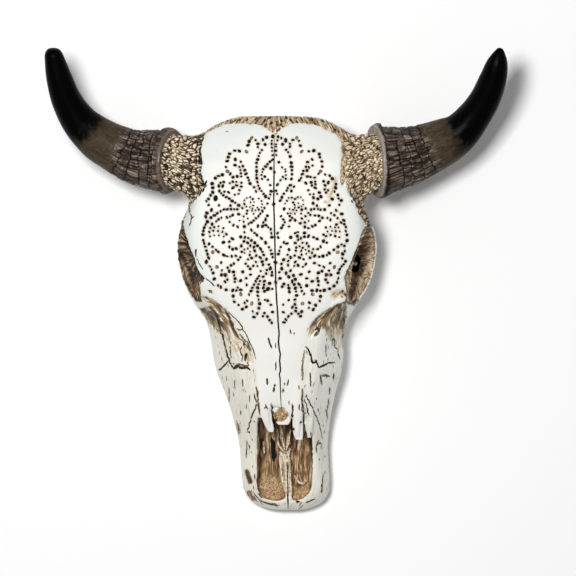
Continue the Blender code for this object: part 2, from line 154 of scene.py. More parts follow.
# Outline of the opening of the nose, in millimetres, and the height of its rim along the face
NOSE_OUTLINE_MM = (
    (-17.5, -146), (-18.0, -170), (-18.5, -200), (-18.5, -226), (-10.0, -237), (6.0, -239),
    (14.0, -240), (24.0, -238), (34.0, -232), (38.0, -215), (38.0, -190), (36.0, -165), (32.0, -146),
    (26.0, -139), (8.0, -137), (-10.0, -139),
)
NOSE_RIM_MM = ((-240, 34), (-228, 41), (-210, 47), (-185, 56), (-166, 70), (-152, 83), (-137, 92))

# Parts inside the nose on the drawing: the striated middle, the pale bar below it, and the two
# lumpy ends, each with the height in millimetres that its floor is raised to
NOSE_MIDDLE = ((277, 418), (293.5, 418), (292.5, 446), (286, 453.5), (278.6, 448.5))
NOSE_BAR = (
    (278, 450), (286, 454.5), (292.6, 447), (290.6, 458), (291, 474), (292.6, 490), (293, 502),
    (285, 502), (284.4, 494), (281.4, 481), (280, 468), (277.8, 456),
)
NOSE_LUMPS = (
    ((259, 484), (264, 478), (276, 476), (281, 481), (284, 490), (283, 499), (273, 502), (263, 498)),
    ((293, 484), (298, 488), (308, 484), (309, 492), (303, 499), (293, 499)),
)
# Tan chips on the middle board of the nasal bones
NOSE_CHIPS = ((272.4, 420.5), (272.6, 413.6), (276.4, 411.4), (279, 407.4), (283.6, 406.2),
              (285.4, 410.6), (288.8, 412.6), (287.8, 416.8), (285.2, 420), (281, 421.6),
              (277.4, 421), (274.6, 422.6))
# Raised parts of the nose: outline, height and softness of the edge, both in millimetres
NOSE_RAISED = ((NOSE_MIDDLE, 31.0, 1.2), (NOSE_BAR, 33.0, 1.2), (NOSE_LUMPS[0], 26.0, 4.0),
               (NOSE_LUMPS[1], 26.0, 4.0))

# Smooth board of the nasal bones, outside which the flanks are greyer and flecked
NASAL_BOARD = (
    (203, 290), (229, 314), (239.4, 322), (245.5, 335), (251.6, 349), (256.7, 363), (258.8, 384),
    (259, 404), (258, 440), (302, 440), (302.7, 420), (302.7, 384), (303.7, 363), (305.7, 343),
    (310.8, 329), (321, 314), (331, 302), (350, 280), (420, 240), (420, 60), (120, 60), (120, 240),
)

# Chains of drilled dots on the left half: dot radius and corners of the chain
LACE_CHAINS = (
    (1.35, ((273, 137.5), (267, 138.5), (263, 141))),
    (1.2, ((265.5, 145.5), (260.3, 154), (256.8, 164), (256.6, 176), (258.4, 186.4), (261.5, 192),
         (266, 197.5))),
    (1.0, ((271.8, 142), (272.4, 152), (272.8, 161), (269.9, 163), (263.5, 170.4), (261.9, 176),
         (262.2, 180))),
    (1.15, ((264.8, 177.7), (268, 181), (270.2, 186), (271.5, 192), (269.3, 199), (267.7, 204.5),
         (264.5, 209), (259, 217), (254, 221.4), (249, 224.5), (245, 227.5))),
    (1.25, ((258, 148), (258.1, 145), (255.9, 141))), (1.25, ((249.5, 142.4), (248.2, 146.2))),
    (1.25, ((239.6, 152.2), (235, 151.6), (230, 155), (227.5, 162), (226.5, 168))),
    (1.2, ((230.7, 175.2), (233.5, 178.4))),
    (1.2, ((235.8, 160.5), (241.2, 163), (245, 171.4), (248, 178.5), (250.4, 184.4), (254.3, 188),
         (256.5, 192.4), (260.6, 194.3))),
    (1.15, ((235.5, 166.3), (239.6, 168), (241, 171), (241.5, 177.7))),
    (1.15, ((237.7, 177.7), (237, 183), (237, 186.4), (233.5, 188.6), (233.5, 183))),
    (1.1, ((241.8, 184), (241.8, 187.5), (239.9, 191), (239, 194.6), (235, 195.6), (234.5, 198.2))),
    (1.25, ((223, 175.8), (219, 176.8), (216, 179.3), (213, 184.4), (213.5, 193), (209.3, 199.7),
         (205.5, 204), (209.3, 206), (212.2, 210.6))),
    (1.2, ((224.3, 182.8), (221, 184), (219.5, 187), (223.3, 187), (224, 190.2), (224.9, 192.4),
         (229, 193))),
    (1.2, ((220, 192), (223.7, 196.2), (229.7, 199.7), (235.8, 203.6), (239.3, 206), (242.8, 209),
         (247.6, 211.2))),
    (1.2, ((241, 210), (234.8, 210), (224.6, 210.3), (217.9, 214), (211.9, 218.2), (208, 222.5),
         (204.5, 228))),
    (1.15, ((239, 215), (233.5, 216), (227.5, 218), (222, 218.6), (217, 222), (213, 225))),
    (1.15, ((230, 222.4), (234.2, 225.6), (238, 227.5), (242, 228.5), (247, 227), (252, 222))),
    (1.25, ((207.7, 214), (205.2, 220.5), (204.5, 228), (203.5, 235), (204, 241), (206, 247),
         (207, 251), (209.4, 258), (207, 262), (210.8, 266.7), (214, 273), (214.7, 279),
         (219, 285.3), (224, 289.3), (229.5, 290.3), (237, 290.7), (241.3, 290))),
    (1.1, ((267.7, 216.3), (266, 220), (263.8, 223), (260.3, 226.5))),
    (1.2, ((259.7, 227.3), (265.9, 226), (270.9, 230), (272, 237.8))),
    (1.2, ((252.5, 232), (257, 235.5), (261.7, 238.8), (265.6, 243), (269.2, 247.6), (271, 251),
         (272.8, 257.5))),
    (1.25, ((224.2, 242.7), (229.8, 242), (233, 239.4), (236, 237.4), (241.3, 237.4), (248.9, 238.4),
         (255, 243.4), (261, 249.3), (264, 255.2), (266.9, 259.5), (269.2, 264.7), (272, 272.6),
         (272.2, 278.5), (269.6, 283.4), (272.2, 289))),
    (1.15, ((230, 247.3), (233, 249.6), (237, 249), (242, 246.6), (243.3, 244.3), (244.6, 241.7))),
    (1.15, ((248.2, 243.4), (250.8, 246), (254.4, 247.3), (255, 251.2), (256.4, 255.8),
         (260.4, 257.8), (262.3, 261.8), (263, 265))),
    (1.1, ((250, 255.2), (252, 258.5), (248.2, 259.8), (246.2, 264), (248.2, 266.7), (250.8, 269),
         (253.8, 266.3), (257.7, 266), (256.4, 262.4))),
    (1.2, ((210, 244.3), (213.4, 247.3), (217, 250.3), (221.3, 254), (227.8, 256.8), (236.4, 256.2),
         (240.6, 257.5), (237.4, 262.7), (231.8, 265.4), (228.2, 267.7), (229.8, 271.6),
         (226.2, 275.2), (227.8, 280), (225.5, 282))),
    (1.1, ((242.3, 252), (239.3, 253.2))), (1.1, ((222.6, 270.3), (221.9, 275.2))),
    (1.2, ((234, 272.3), (235.7, 278.8), (235, 285), (241, 290))),
    (1.2, ((261, 271.3), (259, 276.2), (256, 281.5), (252.8, 287.7), (249.5, 294.3))),
    (1.2, ((263.3, 273.2), (263.3, 277), (260, 281), (258, 288), (258, 295.6), (260, 303.5),
         (259, 308))),
    (1.15, ((267.3, 270.3), (266.3, 274), (264.6, 281.5), (263.6, 288), (265.3, 294.6), (265, 300),
         (268, 300.5), (271.2, 304.5))),
    (1.15, ((233.7, 296.2), (235, 301.5), (239, 304.8), (242.6, 308.7), (246.6, 307), (245.2, 302.5),
         (247.5, 300.5))),
    (1.1, ((253, 311.4), (254.4, 316.6), (256.4, 318.9))), (1.1, ((257.4, 313.3), (261.7, 307.7))),
    (1.1, ((264.6, 313), (263.3, 316), (267.6, 316.6), (269.9, 319.6), (271.9, 322.5))),
    (0.9, ((211, 228.5), (215, 227.5), (219, 227), (224, 228.5))),
    (0.9, ((210, 232.5), (214, 231.5), (218.5, 231.5), (223, 232.5))),
    (0.9, ((211, 237), (215, 236), (219.5, 236), (224.5, 237))),
    (0.9, ((240.5, 214), (244, 217), (247, 214.5))),
    (0.9, ((240, 221), (244, 222.5), (248, 219.5))),
)
# Small rosettes: centre, radius and number of dots
LACE_ROSETTES = ((249.5, 203, 5, 9), (256.5, 205, 6, 11), (256, 211.5, 3.6, 6), (247.2, 251.6, 3, 5))
# Single dots: place and radius
LACE_DOTS = (
    (216.3, 199, 1.9), (252.5, 232, 1.9), (272.5, 312, 1.2), (266, 200.5, 1.7), (219.5, 206, 1.2),
    (231, 206.5, 1.1), (227, 235, 1.1), (268, 289, 1.5), (245, 233, 1.2), (258.5, 220.5, 1.2),
    (230.5, 184, 1.1), (243, 272, 1.3), (246.5, 278.5, 1.3), (251, 275, 1.2), (247, 285, 1.2),
    (241, 281, 1.2), (222, 263, 1.3),
)
# Open rings, drilled shallow and rubbed brown
LACE_RINGS = (
    (252, 139), (246.9, 152.6), (228, 172.3), (213.5, 252.6), (217.7, 267.3), (222.4, 275),
    (226.4, 275), (241.3, 294.3), (252.1, 303.5),
)
# Single larger dots that are drilled on one side alone
ODD_DOTS = (
    (271.0, 169.4, 1.9), (297.3, 236.7, 1.9), (308.3, 236.7, 1.9), (323.3, 235.3, 1.6),
    (331.8, 199.9, 2.0), (287, 244, 1.8), (205, 228.3, 1.9), (258.3, 226.7, 1.8),
    (251.7, 230.7, 1.7),
)
# Dots on the midline: place and radius
MIDLINE_DOTS = ((274.7, 173.6, 1.5), (273.9, 205, 1.9), (275.5, 262.7, 2.1), (275.9, 282.4, 1.9))

# Cut lines, the suture over the midline and the cracks: half width and corners
SUTURE = (0.78, ((274.4, 138), (274.2, 160), (274.1, 182), (273.9, 203), (274.4, 222), (274.9, 240),
                 (275.4, 262), (275.9, 283), (276.6, 297), (277.6, 312), (278.4, 325), (279.3, 333.6),
                 (278.4, 341.7), (279.3, 348), (280.5, 353.7), (279.6, 359.5), (280.2, 365.2),
                 (280.6, 369.8), (279.3, 373.3), (280.2, 378.4), (280.3, 387), (280.7, 396.8),
                 (281.6, 409)))
CRACKS = (
    (1.15, ((217, 316), (219.2, 325), (221.1, 331), (223, 335.7), (222.6, 338.4), (224.5, 340.3),
         (223.8, 343), (225.7, 346.8), (226.5, 349.5), (227.2, 352.6), (226.8, 355.2),
         (229.9, 359.8), (230.7, 364), (233.7, 368.6), (236.4, 367.1), (238, 365.2), (239.9, 366.7),
         (242.9, 367.5), (246.8, 366.7), (250.6, 369.8))),
    (0.55, ((231.8, 322), (234.4, 329), (238.4, 336.6), (242.9, 340.7), (246.8, 344.8),
         (249.8, 350.7))),
    (0.6, ((211, 308), (215.4, 313), (219, 320), (221, 328))),
    (0.5, ((200, 309), (206, 313), (211, 319), (215, 325))),
    (0.5, ((242, 346), (240.4, 351), (243, 356), (241.6, 361))),
    (0.5, ((344.6, 306), (343.4, 314), (344.4, 321), (342.6, 328))),
    (0.5, ((331, 334.6), (332.6, 340), (331.8, 345.6))),
    (0.45, ((228, 310.6), (233, 315), (238.6, 321), (243, 328), (247.6, 336), (251, 344),
         (254.4, 352), (255.9, 358.5))),
    (0.6, ((237.6, 328.4), (240.2, 329.6), (242.9, 328.8))),
    (0.8, ((305.6, 346), (308.6, 349.9), (310.2, 353.3), (311.3, 357.1), (312.5, 362.5),
         (314.4, 362.1), (316.3, 359.8), (317, 363.3), (319, 367.1), (322.8, 365.2), (325.5, 364),
         (328.9, 362.5), (335, 362.5))),
    (0.8, ((331.2, 336.5), (334.6, 341.1), (334.3, 347.2), (337.7, 349.5), (338.1, 354.8),
         (340.4, 359.4))),
    (0.75, ((314.2, 335.7), (315.9, 332.3), (319, 330.7), (319.2, 328.4), (314.4, 329.2))),
    (0.6, ((306, 395.4), (309, 400.8), (313.2, 409.2), (316.3, 416.8), (319.7, 426),
         (322.8, 439.8))),
    (0.5, ((304.4, 398.5), (306.7, 406.1), (308.6, 415.3))),
    (0.5, ((302.5, 388.5), (302.2, 399.2), (303.4, 409.2), (303.9, 420), (304.6, 428), (306, 436),
         (307.5, 443))),
    (0.6, ((257.2, 400), (256.4, 406.7), (253.3, 412), (250.8, 420), (248.4, 428), (246.4, 433))),
    (0.6, ((254, 392.4), (255.9, 399.3), (259, 407.7), (260.3, 415))),
    (0.6, ((256.6, 386), (257.9, 396))), (0.8, ((197.4, 249), (196.6, 253), (197, 257))),
    (0.4, ((197.6, 258), (200, 264), (204, 270))), (0.5, ((205.5, 277.5), (210, 281), (215, 286))),
    (0.7, ((190.6, 214.5), (192.6, 217), (192.2, 221), (190.4, 227))),
    (0.5, ((271.2, 402.5), (271.8, 410), (273, 418), (274.6, 427))),
    (0.5, ((292.4, 402.5), (292.2, 411), (291.6, 418), (290.8, 425))),
)
CRACK_BRANCHES = (
    (0.8, ((229.5, 360.6), (228, 361.4), (225.7, 364.4), (221.5, 368.6), (218.4, 370.2),
         (216.9, 371.7))),
    (1.0, ((247, 352.6), (246, 354.9), (245.2, 358.7), (245.6, 361))),
    (0.5, ((247.1, 361), (249, 365.6))), (0.5, ((195, 217), (192.6, 219.4))),
)
# Short gouges on the nose and the flanks: half width and both ends
GOUGES = (
    (0.75, ((268.4, 337.1), (271.8, 348))), (0.45, ((275.9, 342), (276, 348))),
    (0.55, ((275.9, 361), (276, 370))), (0.85, ((267, 377.3), (267.5, 384.2))),
    (1.5, ((274.4, 384), (275.8, 384.4))), (0.9, ((274.2, 386), (273.8, 391.7))),
    (0.6, ((290.2, 329), (291.1, 333.6))), (1.3, ((293.6, 333.3), (294.3, 333.4))),
    (0.65, ((288.5, 378.4), (287.4, 385.3))), (0.6, ((284, 389), (283, 391.5))),
    (0.55, ((298.8, 384.8), (299, 388.8))), (0.6, ((299, 403.2), (299.2, 409.5))),
    (0.5, ((289.1, 400), (289.1, 404))), (0.6, ((265.5, 403.7), (267.8, 408.9))),
    (0.6, ((264.4, 408), (266, 406.6))), (1.4, ((300.4, 421.4), (300.8, 422.6))),
    (1.0, ((293.4, 427), (293.9, 430))), (0.75, ((234.7, 380), (235, 389))),
    (0.75, ((242.8, 378.6), (243.1, 386))), (0.5, ((249.8, 394), (249.9, 402))),
    (0.9, ((237.5, 425.3), (238.8, 431.8))), (0.8, ((234.9, 428.4), (236.2, 433))),
    (1.2, ((249.6, 431.4), (248.6, 433))), (1.5, ((233.8, 362.8), (234.6, 363.8))),
    (0.7, ((252, 439.2), (252.6, 440.4))),
    (0.8, ((246.7, 441), (246.9, 447), (246.3, 453), (246, 459))),
    (0.5, ((254.4, 420.2), (254.4, 422))), (0.9, ((230.4, 349.6), (231, 353.4))),
    (0.7, ((310, 371.7), (310.4, 379), (310.6, 386.2))), (0.8, ((320.7, 374.7), (321.4, 383.1))),
    (0.7, ((334.6, 374.7), (333.4, 379.3))), (0.5, ((326.5, 376), (326.7, 378.6))),
    (0.8, ((329.2, 387), (330, 390.4), (328.8, 394.6))), (0.6, ((316, 397.4), (316.6, 399.6))),
    (1.3, ((305.7, 395), (306.4, 395.9))), (0.6, ((326.4, 338.4), (326.8, 341))),
    (0.6, ((323, 424.6), (323.4, 427))), (0.9, ((324.2, 431.4), (324.5, 433.8))),
    (0.5, ((310.8, 431.6), (311, 436))), (1.0, ((305, 431), (305.8, 437))),
    (0.7, ((246.6, 492.4), (249, 498), (252.6, 502.8))),
    (0.6, ((252.8, 493), (259.4, 501.2), (266, 504.6), (273, 506.6), (279.5, 506.4))),
    (0.9, ((295.8, 503.2), (299.4, 502.8))), (0.5, ((306, 504.2), (311, 502.2), (315.4, 499.6))),
    (0.6, ((298.6, 509.4), (301, 509.4))), (0.5, ((275.6, 508), (278, 508.2))),
    (0.6, ((319.4, 458.8), (319.6, 461))), (0.5, ((324.8, 456), (325.1, 458.6))),
    (0.8, ((323.2, 476), (322.2, 481))), (0.8, ((322, 484), (321.4, 488))),
    (0.9, ((321.6, 490.6), (321.4, 493.4))), (0.6, ((325.2, 471.6), (324.8, 475))),
    (0.5, ((254.6, 474), (254.8, 480))), (1.1, ((246.4, 474.6), (249, 479.8))),
    (0.9, ((341.6, 290), (342.8, 291.8))), (0.8, ((344, 293.4), (344.8, 296))),
    (0.6, ((340.6, 296.2), (342.2, 296.8))), (0.7, ((236.4, 421), (237.4, 424))),
    (0.7, ((249.8, 445), (249.6, 449))), (0.7, ((233.4, 392), (233.9, 397))),
    (0.6, ((226.4, 376), (226.6, 381))), (0.6, ((246.6, 404), (246.4, 409))),
    (0.6, ((240.6, 410), (240.9, 415))), (0.6, ((318, 408), (318.4, 412))),
)
# Brown smears: strength, half width and corners. The ones above this half width are only painted.
WIDE_SMEAR = 2.1
SMEARS = (
    (1.25, 2.7, ((246.5, 472.5), (249.8, 482.5))), (0.8, 2.2, ((249, 493), (253.4, 501))),
    (0.6, 1.6, ((254, 497), (257, 503))),
    (0.8, 1.5, ((316.6, 453), (316.4, 446), (318.6, 442.6), (321.4, 444), (321, 449))),
    (0.6, 1.4, ((323.5, 474), (322, 494))), (0.7, 1.6, ((284.6, 382), (284.4, 385))),
    (0.5, 1.5, ((283.6, 388), (282.6, 392))), (0.7, 1.5, ((257, 388), (258, 401), (260, 413))),
    (0.5, 1.4, ((229, 388), (228.8, 402))), (0.4, 1.4, ((326, 344), (326, 356))),
    (0.55, 1.6, ((333.8, 373), (333.6, 380))), (0.4, 1.6, ((322, 375), (330, 376))),
    (0.7, 1.5, ((329.4, 388), (330, 394))), (0.6, 1.6, ((320, 374), (321.6, 384))),
    (0.6, 1.6, ((302.6, 388), (302.2, 402), (304, 420))),
    (0.55, 1.6, ((329.3, 398.5), (327, 411.5), (327.4, 420))),
    (0.7, 1.5, ((305.4, 430), (306.6, 440))), (0.8, 1.3, ((300.6, 420.6), (300.6, 423.4))),
    (0.6, 1.6, ((319, 440), (319, 444))), (0.5, 1.5, ((304.6, 350), (302.6, 362), (302.4, 380))),
    (0.75, 2.4, ((281.6, 411), (282.4, 419))), (0.5, 1.6, ((276, 412), (276.4, 422))),
    (0.5, 1.2, ((272.4, 404), (273.4, 418))), (0.5, 1.2, ((292.8, 404), (292.2, 420))),
    (0.6, 1.5, ((223.5, 336), (226, 352))), (0.6, 1.6, ((230.5, 346), (230.8, 358))),
    (0.5, 1.5, ((237, 364), (249, 366))), (0.6, 1.8, ((247, 341), (251, 351))),
    (0.5, 1.5, ((243.5, 342), (245, 348))), (0.5, 1.6, ((240, 334), (247, 343))),
    (0.45, 1.8, ((229, 336), (231, 344))), (0.35, 2.6, ((234, 340), (236, 350))),
    (0.6, 1.9, ((208.6, 290), (213.4, 293))), (0.45, 5.2, ((334, 294.6), (338, 292.4), (342, 293))),
    (0.4, 0.7, ((226.2, 133), (228.6, 132.3))), (0.6, 1.5, ((316, 326), (319, 332), (314.6, 336))),
    (0.5, 2.2, ((330, 334), (334, 344))), (0.35, 1.4, ((345, 329), (343, 337), (343, 350))),
    (0.36, 3.2, ((329, 198), (332.5, 190), (335, 180))), (0.3, 2.4, ((324, 203), (329, 202))),
    (0.5, 1.2, ((196.8, 250), (196.6, 256))), (0.45, 1.6, ((189, 205), (190.5, 214))),
    (0.5, 1.8, ((258, 494), (262, 499))), (0.4, 1.5, ((296, 503), (300, 503))),
    (0.35, 1.4, ((306, 504), (315, 500))), (0.3, 1.6, ((260, 502), (278, 507))),
    (0.7, 2.4, ((237.6, 425), (238.8, 433))), (0.4, 1.2, ((246.6, 442), (246.2, 458))),
)
# Black cuts between the chips of the horn cores: half width and corners
CORE_CUTS = (
    (1.1, ((205.4, 186), (207.6, 181.6))), (1.2, ((202.8, 193.2), (206.2, 187.4))),
    (1.2, ((199.4, 197.4), (203, 190))), (1.1, ((196.2, 201), (199.6, 193.6))),
    (1.0, ((192.8, 204.4), (196.6, 197.8))), (0.9, ((189.6, 208), (193.2, 201.6))),
    (0.9, ((197, 145.2), (200, 146.6), (203.6, 145.8))),
    (0.8, ((199.4, 156), (200.4, 160), (199.6, 166))), (0.8, ((188, 146.4), (190.8, 148.2))),
    (0.7, ((165.6, 157.4), (168.8, 159))), (0.7, ((163.6, 164.4), (167, 166.2), (170, 167.4))),
    (0.8, ((190.6, 159.4), (193, 162))), (0.7, ((192.4, 168), (195, 171))),
    (0.8, ((201, 174), (203.4, 178))), (0.7, ((177, 143), (179.4, 144.6))),
    (0.6, ((171, 150.4), (173, 152))), (0.6, ((183.4, 173.6), (186, 175.8))),
    (0.9, ((362.8, 147.4), (365, 149.4))), (0.7, ((359.4, 190), (360.8, 194))),
    (0.8, ((350.6, 201), (351.8, 204))), (0.6, ((352, 157), (354, 160))),
    (0.6, ((343, 173), (344.4, 177))),
)
# Slanted dashes along the band of the poll: the middle of each
POLL_DASHES = (
    (205, 131.6), (207.6, 129.4), (211.4, 127.8), (215.7, 126), (220.7, 123.4), (224.3, 122),
    (228, 121), (232.8, 118.4), (235.6, 121), (240, 120.6), (243, 117.6), (247, 120.4), (251, 117),
    (256, 119.6), (261, 117.4), (265, 121.4), (269.6, 118.6), (272, 124), (277.6, 126),
    (281, 121.4), (286, 118.4), (290.4, 121), (296, 118), (301.6, 120.4), (307, 117.4), (312, 120),
    (317.4, 118.4), (322, 121.6), (326.4, 119.4), (332.6, 121.4), (336.4, 123.6), (334.4, 130.6),
    (338, 132.4), (342, 129), (346.4, 131),
)
# Dark strokes of paint between the locks at the poll: the middle of each
POLL_STROKES = (
    (204.6, 133), (210.8, 129.8), (217.8, 126.4), (224.8, 123.6), (231, 118.8), (232.2, 121.6),
    (237.6, 118.8), (239.6, 121.8), (243.4, 121.4), (247.4, 118), (251.6, 121.6), (256, 121.4),
    (258.4, 117.8), (263, 122), (266, 125), (267.4, 118.4), (270.2, 122.6), (271.6, 128),
    (276.6, 123), (277.4, 130), (281.4, 125), (285.4, 121.4), (290.4, 117.6), (293, 121.6),
    (297.4, 121.6), (301.6, 117.6), (305, 121), (309.6, 117.6), (314.4, 122.4), (318, 120),
    (323.6, 119.6), (327, 125.6), (328, 121.4), (332, 124.4), (333, 128.4), (336.4, 127),
    (338.4, 133.4), (341, 128), (344.4, 132),
)
# Darker strands and painted shade in the creases at the sockets' and left core's edges, then paler
# strands: strength, half width and corners
DARK_STRANDS_AND_SHADE = (
    (0.34, 3.0, ((187, 240), (191.5, 252), (195.5, 262), (199, 270), (203, 277))),
    (0.24, 6.0, ((183, 257), (189, 265), (193, 273))), (0.2, 2.0, ((178, 232), (184, 234))),
    (0.2, 2.0, ((190, 284), (194, 294), (198, 301))),
    (0.3, 2.8, ((355.6, 252), (355.4, 263), (357.2, 275))),
    (0.26, 1.8, ((361.6, 263), (362.2, 269), (360.4, 274))),
    (0.2, 2.2, ((357.6, 246), (361, 249.6))), (0.14, 1.6, ((349.4, 276), (350.4, 285), (352, 291))),
    (0.18, 1.4, ((362, 234), (367, 234))),
    (0.34, 2.4, ((203.4, 139), (201.6, 150), (202.4, 165), (200.4, 176), (204, 184))),
    (0.22, 2.6, ((163, 156), (166, 166), (165, 176))),
    (0.25, 1.6, ((210.6, 308), (215.4, 313.6), (220, 322), (222.4, 332))),
    (0.25, 1.5, ((226, 312), (230, 320), (233, 330), (238, 339))),
    (0.25, 1.5, ((200, 309.5), (207, 314), (212, 320))),
    (0.2, 1.6, ((339, 305), (331, 311), (322, 318))), (0.2, 1.5, ((343, 308), (340, 320))),
    (0.3, 0.9, ((370, 246), (364, 252), (360.4, 258))),
    (0.3, 0.9, ((372, 257), (366.6, 262), (363, 268))),
    (0.3, 0.9, ((369.6, 271), (364.6, 277), (361, 285))),
    (0.3, 0.9, ((364, 284), (359, 293), (354.6, 301))), (0.28, 0.9, ((369, 238), (363, 241))),
    (0.28, 0.9, ((357.6, 280), (354.6, 289), (351.6, 298))),
    (0.28, 0.9, ((374, 248), (369.6, 252))), (0.3, 0.9, ((180, 251.6), (186, 255.6), (191, 262))),
    (0.3, 0.9, ((180.6, 262), (184, 270), (186, 278))),
    (0.3, 0.9, ((188, 263), (190, 272), (193.4, 282))),
    (0.3, 0.9, ((187, 283), (191.4, 292), (197, 301))), (0.2, 3.2, ((296, 443), (297, 452))),
)
PALER_STRANDS = (
    (0.3, 2.8, ((261.6, 421), (264, 427), (268, 433))),
    (0.34, 1.3, ((176, 249.6), (182, 248), (188, 249.6))),
    (0.28, 2.0, ((183, 263), (186, 269), (188, 277))), (0.16, 3.0, ((177, 238), (183, 238))),
    (0.16, 2.2, ((186, 290), (190, 298), (196, 302))),
    (0.24, 5.0, ((367, 236), (371, 246), (371.4, 258), (367.6, 270))),
    (0.24, 3.8, ((361, 281), (357, 291), (354, 300))), (0.24, 3.2, ((350, 299), (349, 303))),
    (0.2, 1.6, ((346.6, 277), (348, 286), (350, 295))),
    (0.3, 0.9, ((372.6, 243), (366.6, 248.6), (362, 255))),
    (0.3, 0.9, ((373, 262), (367.6, 267), (364, 273))),
    (0.3, 0.9, ((366, 281), (361.6, 289), (357, 298))), (0.3, 0.9, ((371.6, 235), (365.4, 238))),
    (0.3, 0.9, ((360, 279), (356.6, 287), (353.6, 296))),
    (0.3, 0.9, ((183.6, 253), (188, 259), (190.6, 267))),
    (0.3, 0.9, ((185.4, 268), (188.6, 279), (193.6, 290))),
    (0.3, 1.5, ((204, 302), (211, 305), (217, 312), (221, 318))),
    (0.3, 1.6, ((222, 309), (227, 318), (229, 328), (233, 338))),
    (0.26, 1.5, ((337, 309), (331, 317), (328, 326))),
    (0.26, 1.4, ((344.6, 305), (342.6, 316), (340, 327))),
    (0.16, 5.0, ((174, 150), (178, 160), (176, 172))),
    (0.16, 4.0, ((370, 150), (376, 162), (372, 176))), (0.2, 3.0, ((260, 470), (266, 466))),
    (0.16, 4.0, ((300, 432), (302, 452))), (0.34, 2.6, ((261.6, 420), (263, 429), (261.4, 437))),
    (0.3, 1.0, ((266.6, 437), (267.6, 450), (267.4, 461))), (0.24, 1.0, ((298.4, 442), (299, 456))),
    (0.24, 0.9, ((305.6, 446), (304.6, 466))),
)
# Slit between the two sides of the muzzle: half width and corners
PREMAXILLA_SLIT = (0.75, ((287, 462), (287.4, 475), (287.8, 495), (288.1, 510)))
# Dark holes in the nose and the right socket: half width and corners
SLOTS = (
    (1.7, ((271.4, 438), (272.2, 446), (273, 454), (274, 463))),
    (1.4, ((273.6, 441), (274.2, 452), (275, 460))),
    (4.5, ((356.5, 255.2), (355.4, 263.2), (354.2, 271.8))),
)
# Grey glint in the hole of the right socket: half width and both ends
GLINT = (1.8, ((354.9, 261.6), (355.6, 265.6)))
# Pale ridges inside the nose, from its floor: half width and corners with the height in millimetres
NOSE_RIDGES = (
    (0.95, ((277.6, 430, 34), (278, 444, 33), (281, 449.5, 33), (285.4, 453.5, 34))),
    (0.8, ((281.6, 428, 34), (283, 444, 33), (284.8, 450.5, 34))),
    (0.8, ((290.6, 430, 34), (288.8, 443, 33), (286.2, 450.5, 34))),
    (0.9, ((279.4, 456, 29), (280.6, 468, 30), (282, 480, 31), (284.6, 492, 32))),
    (0.9, ((286, 466, 35), (286.2, 480, 36), (286.6, 496, 36))),
    (0.8, ((289.6, 458, 33), (290, 470, 34), (290.6, 484, 34), (291.4, 496, 34))),
    (1.0, ((294.4, 476.5, 26), (299.2, 483.6, 27), (303.4, 485, 27), (307, 481, 26))),
    (0.9, ((263.4, 442, 24), (264.2, 455, 24))),
)
# Boards of the nasal bones: rows of centre and half width on the drawing, with height in millimetres
NASAL_BOARDS = (
    ((264.3, 385, 6.8, 96), (264.6, 405, 6.4, 91), (267.2, 418, 5.3, 88), (270.2, 428, 3.9, 84.5),
     (271.2, 431.6, 2.2, 83)),
    ((282.0, 385, 9.6, 94), (281.9, 405, 9.6, 90), (281.9, 414, 9.5, 87), (282.2, 418.6, 8.9, 85.6),
     (282.9, 421.6, 7.4, 84.6), (283.4, 424.2, 5.2, 84)),
    ((298, 385, 5.6, 96), (298.2, 405, 5.3, 91), (297.6, 420, 5.4, 87), (298.2, 433, 5.0, 83),
     (299.2, 439.2, 3.4, 81)),
    ((307.8, 396, 5.2, 88), (308, 412, 5.2, 84), (308.2, 424, 4.8, 77), (308.4, 433, 4.2, 70),
     (308.6, 437.5, 2.6, 67)),
)
BOARD_THICKNESS = 5.0

# Ball of each eye socket in millimetres: its centre on the right side, its half sizes across, along
# and outward, its lean out from the front and its turn in plan
ORBIT_CENTRE = (90.5, 17.0, 85.0)
ORBIT_HALF = (27.0, 38.0, 28.0)
ORBIT_LEAN = math.radians(58.0)
ORBIT_TURN = math.radians(13.0)
# Where the locks of the poll spread from, and the middle of the lace, on the drawing
POLL_HUB = (274.6, 262.0)
LACE_MIDDLE = (274.0, 222.0)
LACE_REACH_MM = (76.0, 100.0)
# Heights in millimetres under which the cores, the sockets, the hollows and the chips stay plain,
# and the place up the face over which the flanks do
CORE_FLOOR = 22.0
SOCKET_FLOOR = 52.0
HOLLOW_FLOOR = 38.0
CHIP_FLOOR = 70.0
FLANK_TOP = -16.0
# Place up the face in millimetres over which the strands are the cores', and how far outside a
# socket, below 0, they are still the socket's and not the hollow's
CORE_END = 58.0
SOCKET_BORDER = -3.0

# Spacing of the dots in a chain on the drawing, the share that they are drilled wider by, and the
# radii of the small dots in a rosette and of the rings left and right
DOT_SPACING = 3.7
DOT_WIDENING = 1.3
ROSETTE_DOT = 0.85
RING_LEFT = 2.35
RING_RIGHT = 2.3
# Round rods that cut or raise a line: length of a step on the drawing, and how far they sink in
ROD_STEP = 1.7
ROD_SINK = 0.1 * MM

# Slots of the paints on the skull, after the bone's own
DARK_PIT, PALE_RIDGE, RUBBED_BROWN, BROWN_CUT, GREY_GLINT = range(1, 6)
# The skull's mesh: how far its back is pressed flat, in millimetres, how far round the tooled
# regions it is refined, in millimetres, and down to which slope
BACK_ROUNDING = 1.2
REFINED_MARGIN = 2.0
REFINED_SLOPE = -0.45
# Slope under which plain faces are merged, because they look away from the front, and the share of
# them that is kept
UNDERSIDE_SLOPE = -0.06
UNDERSIDE_SHARE = 0.2


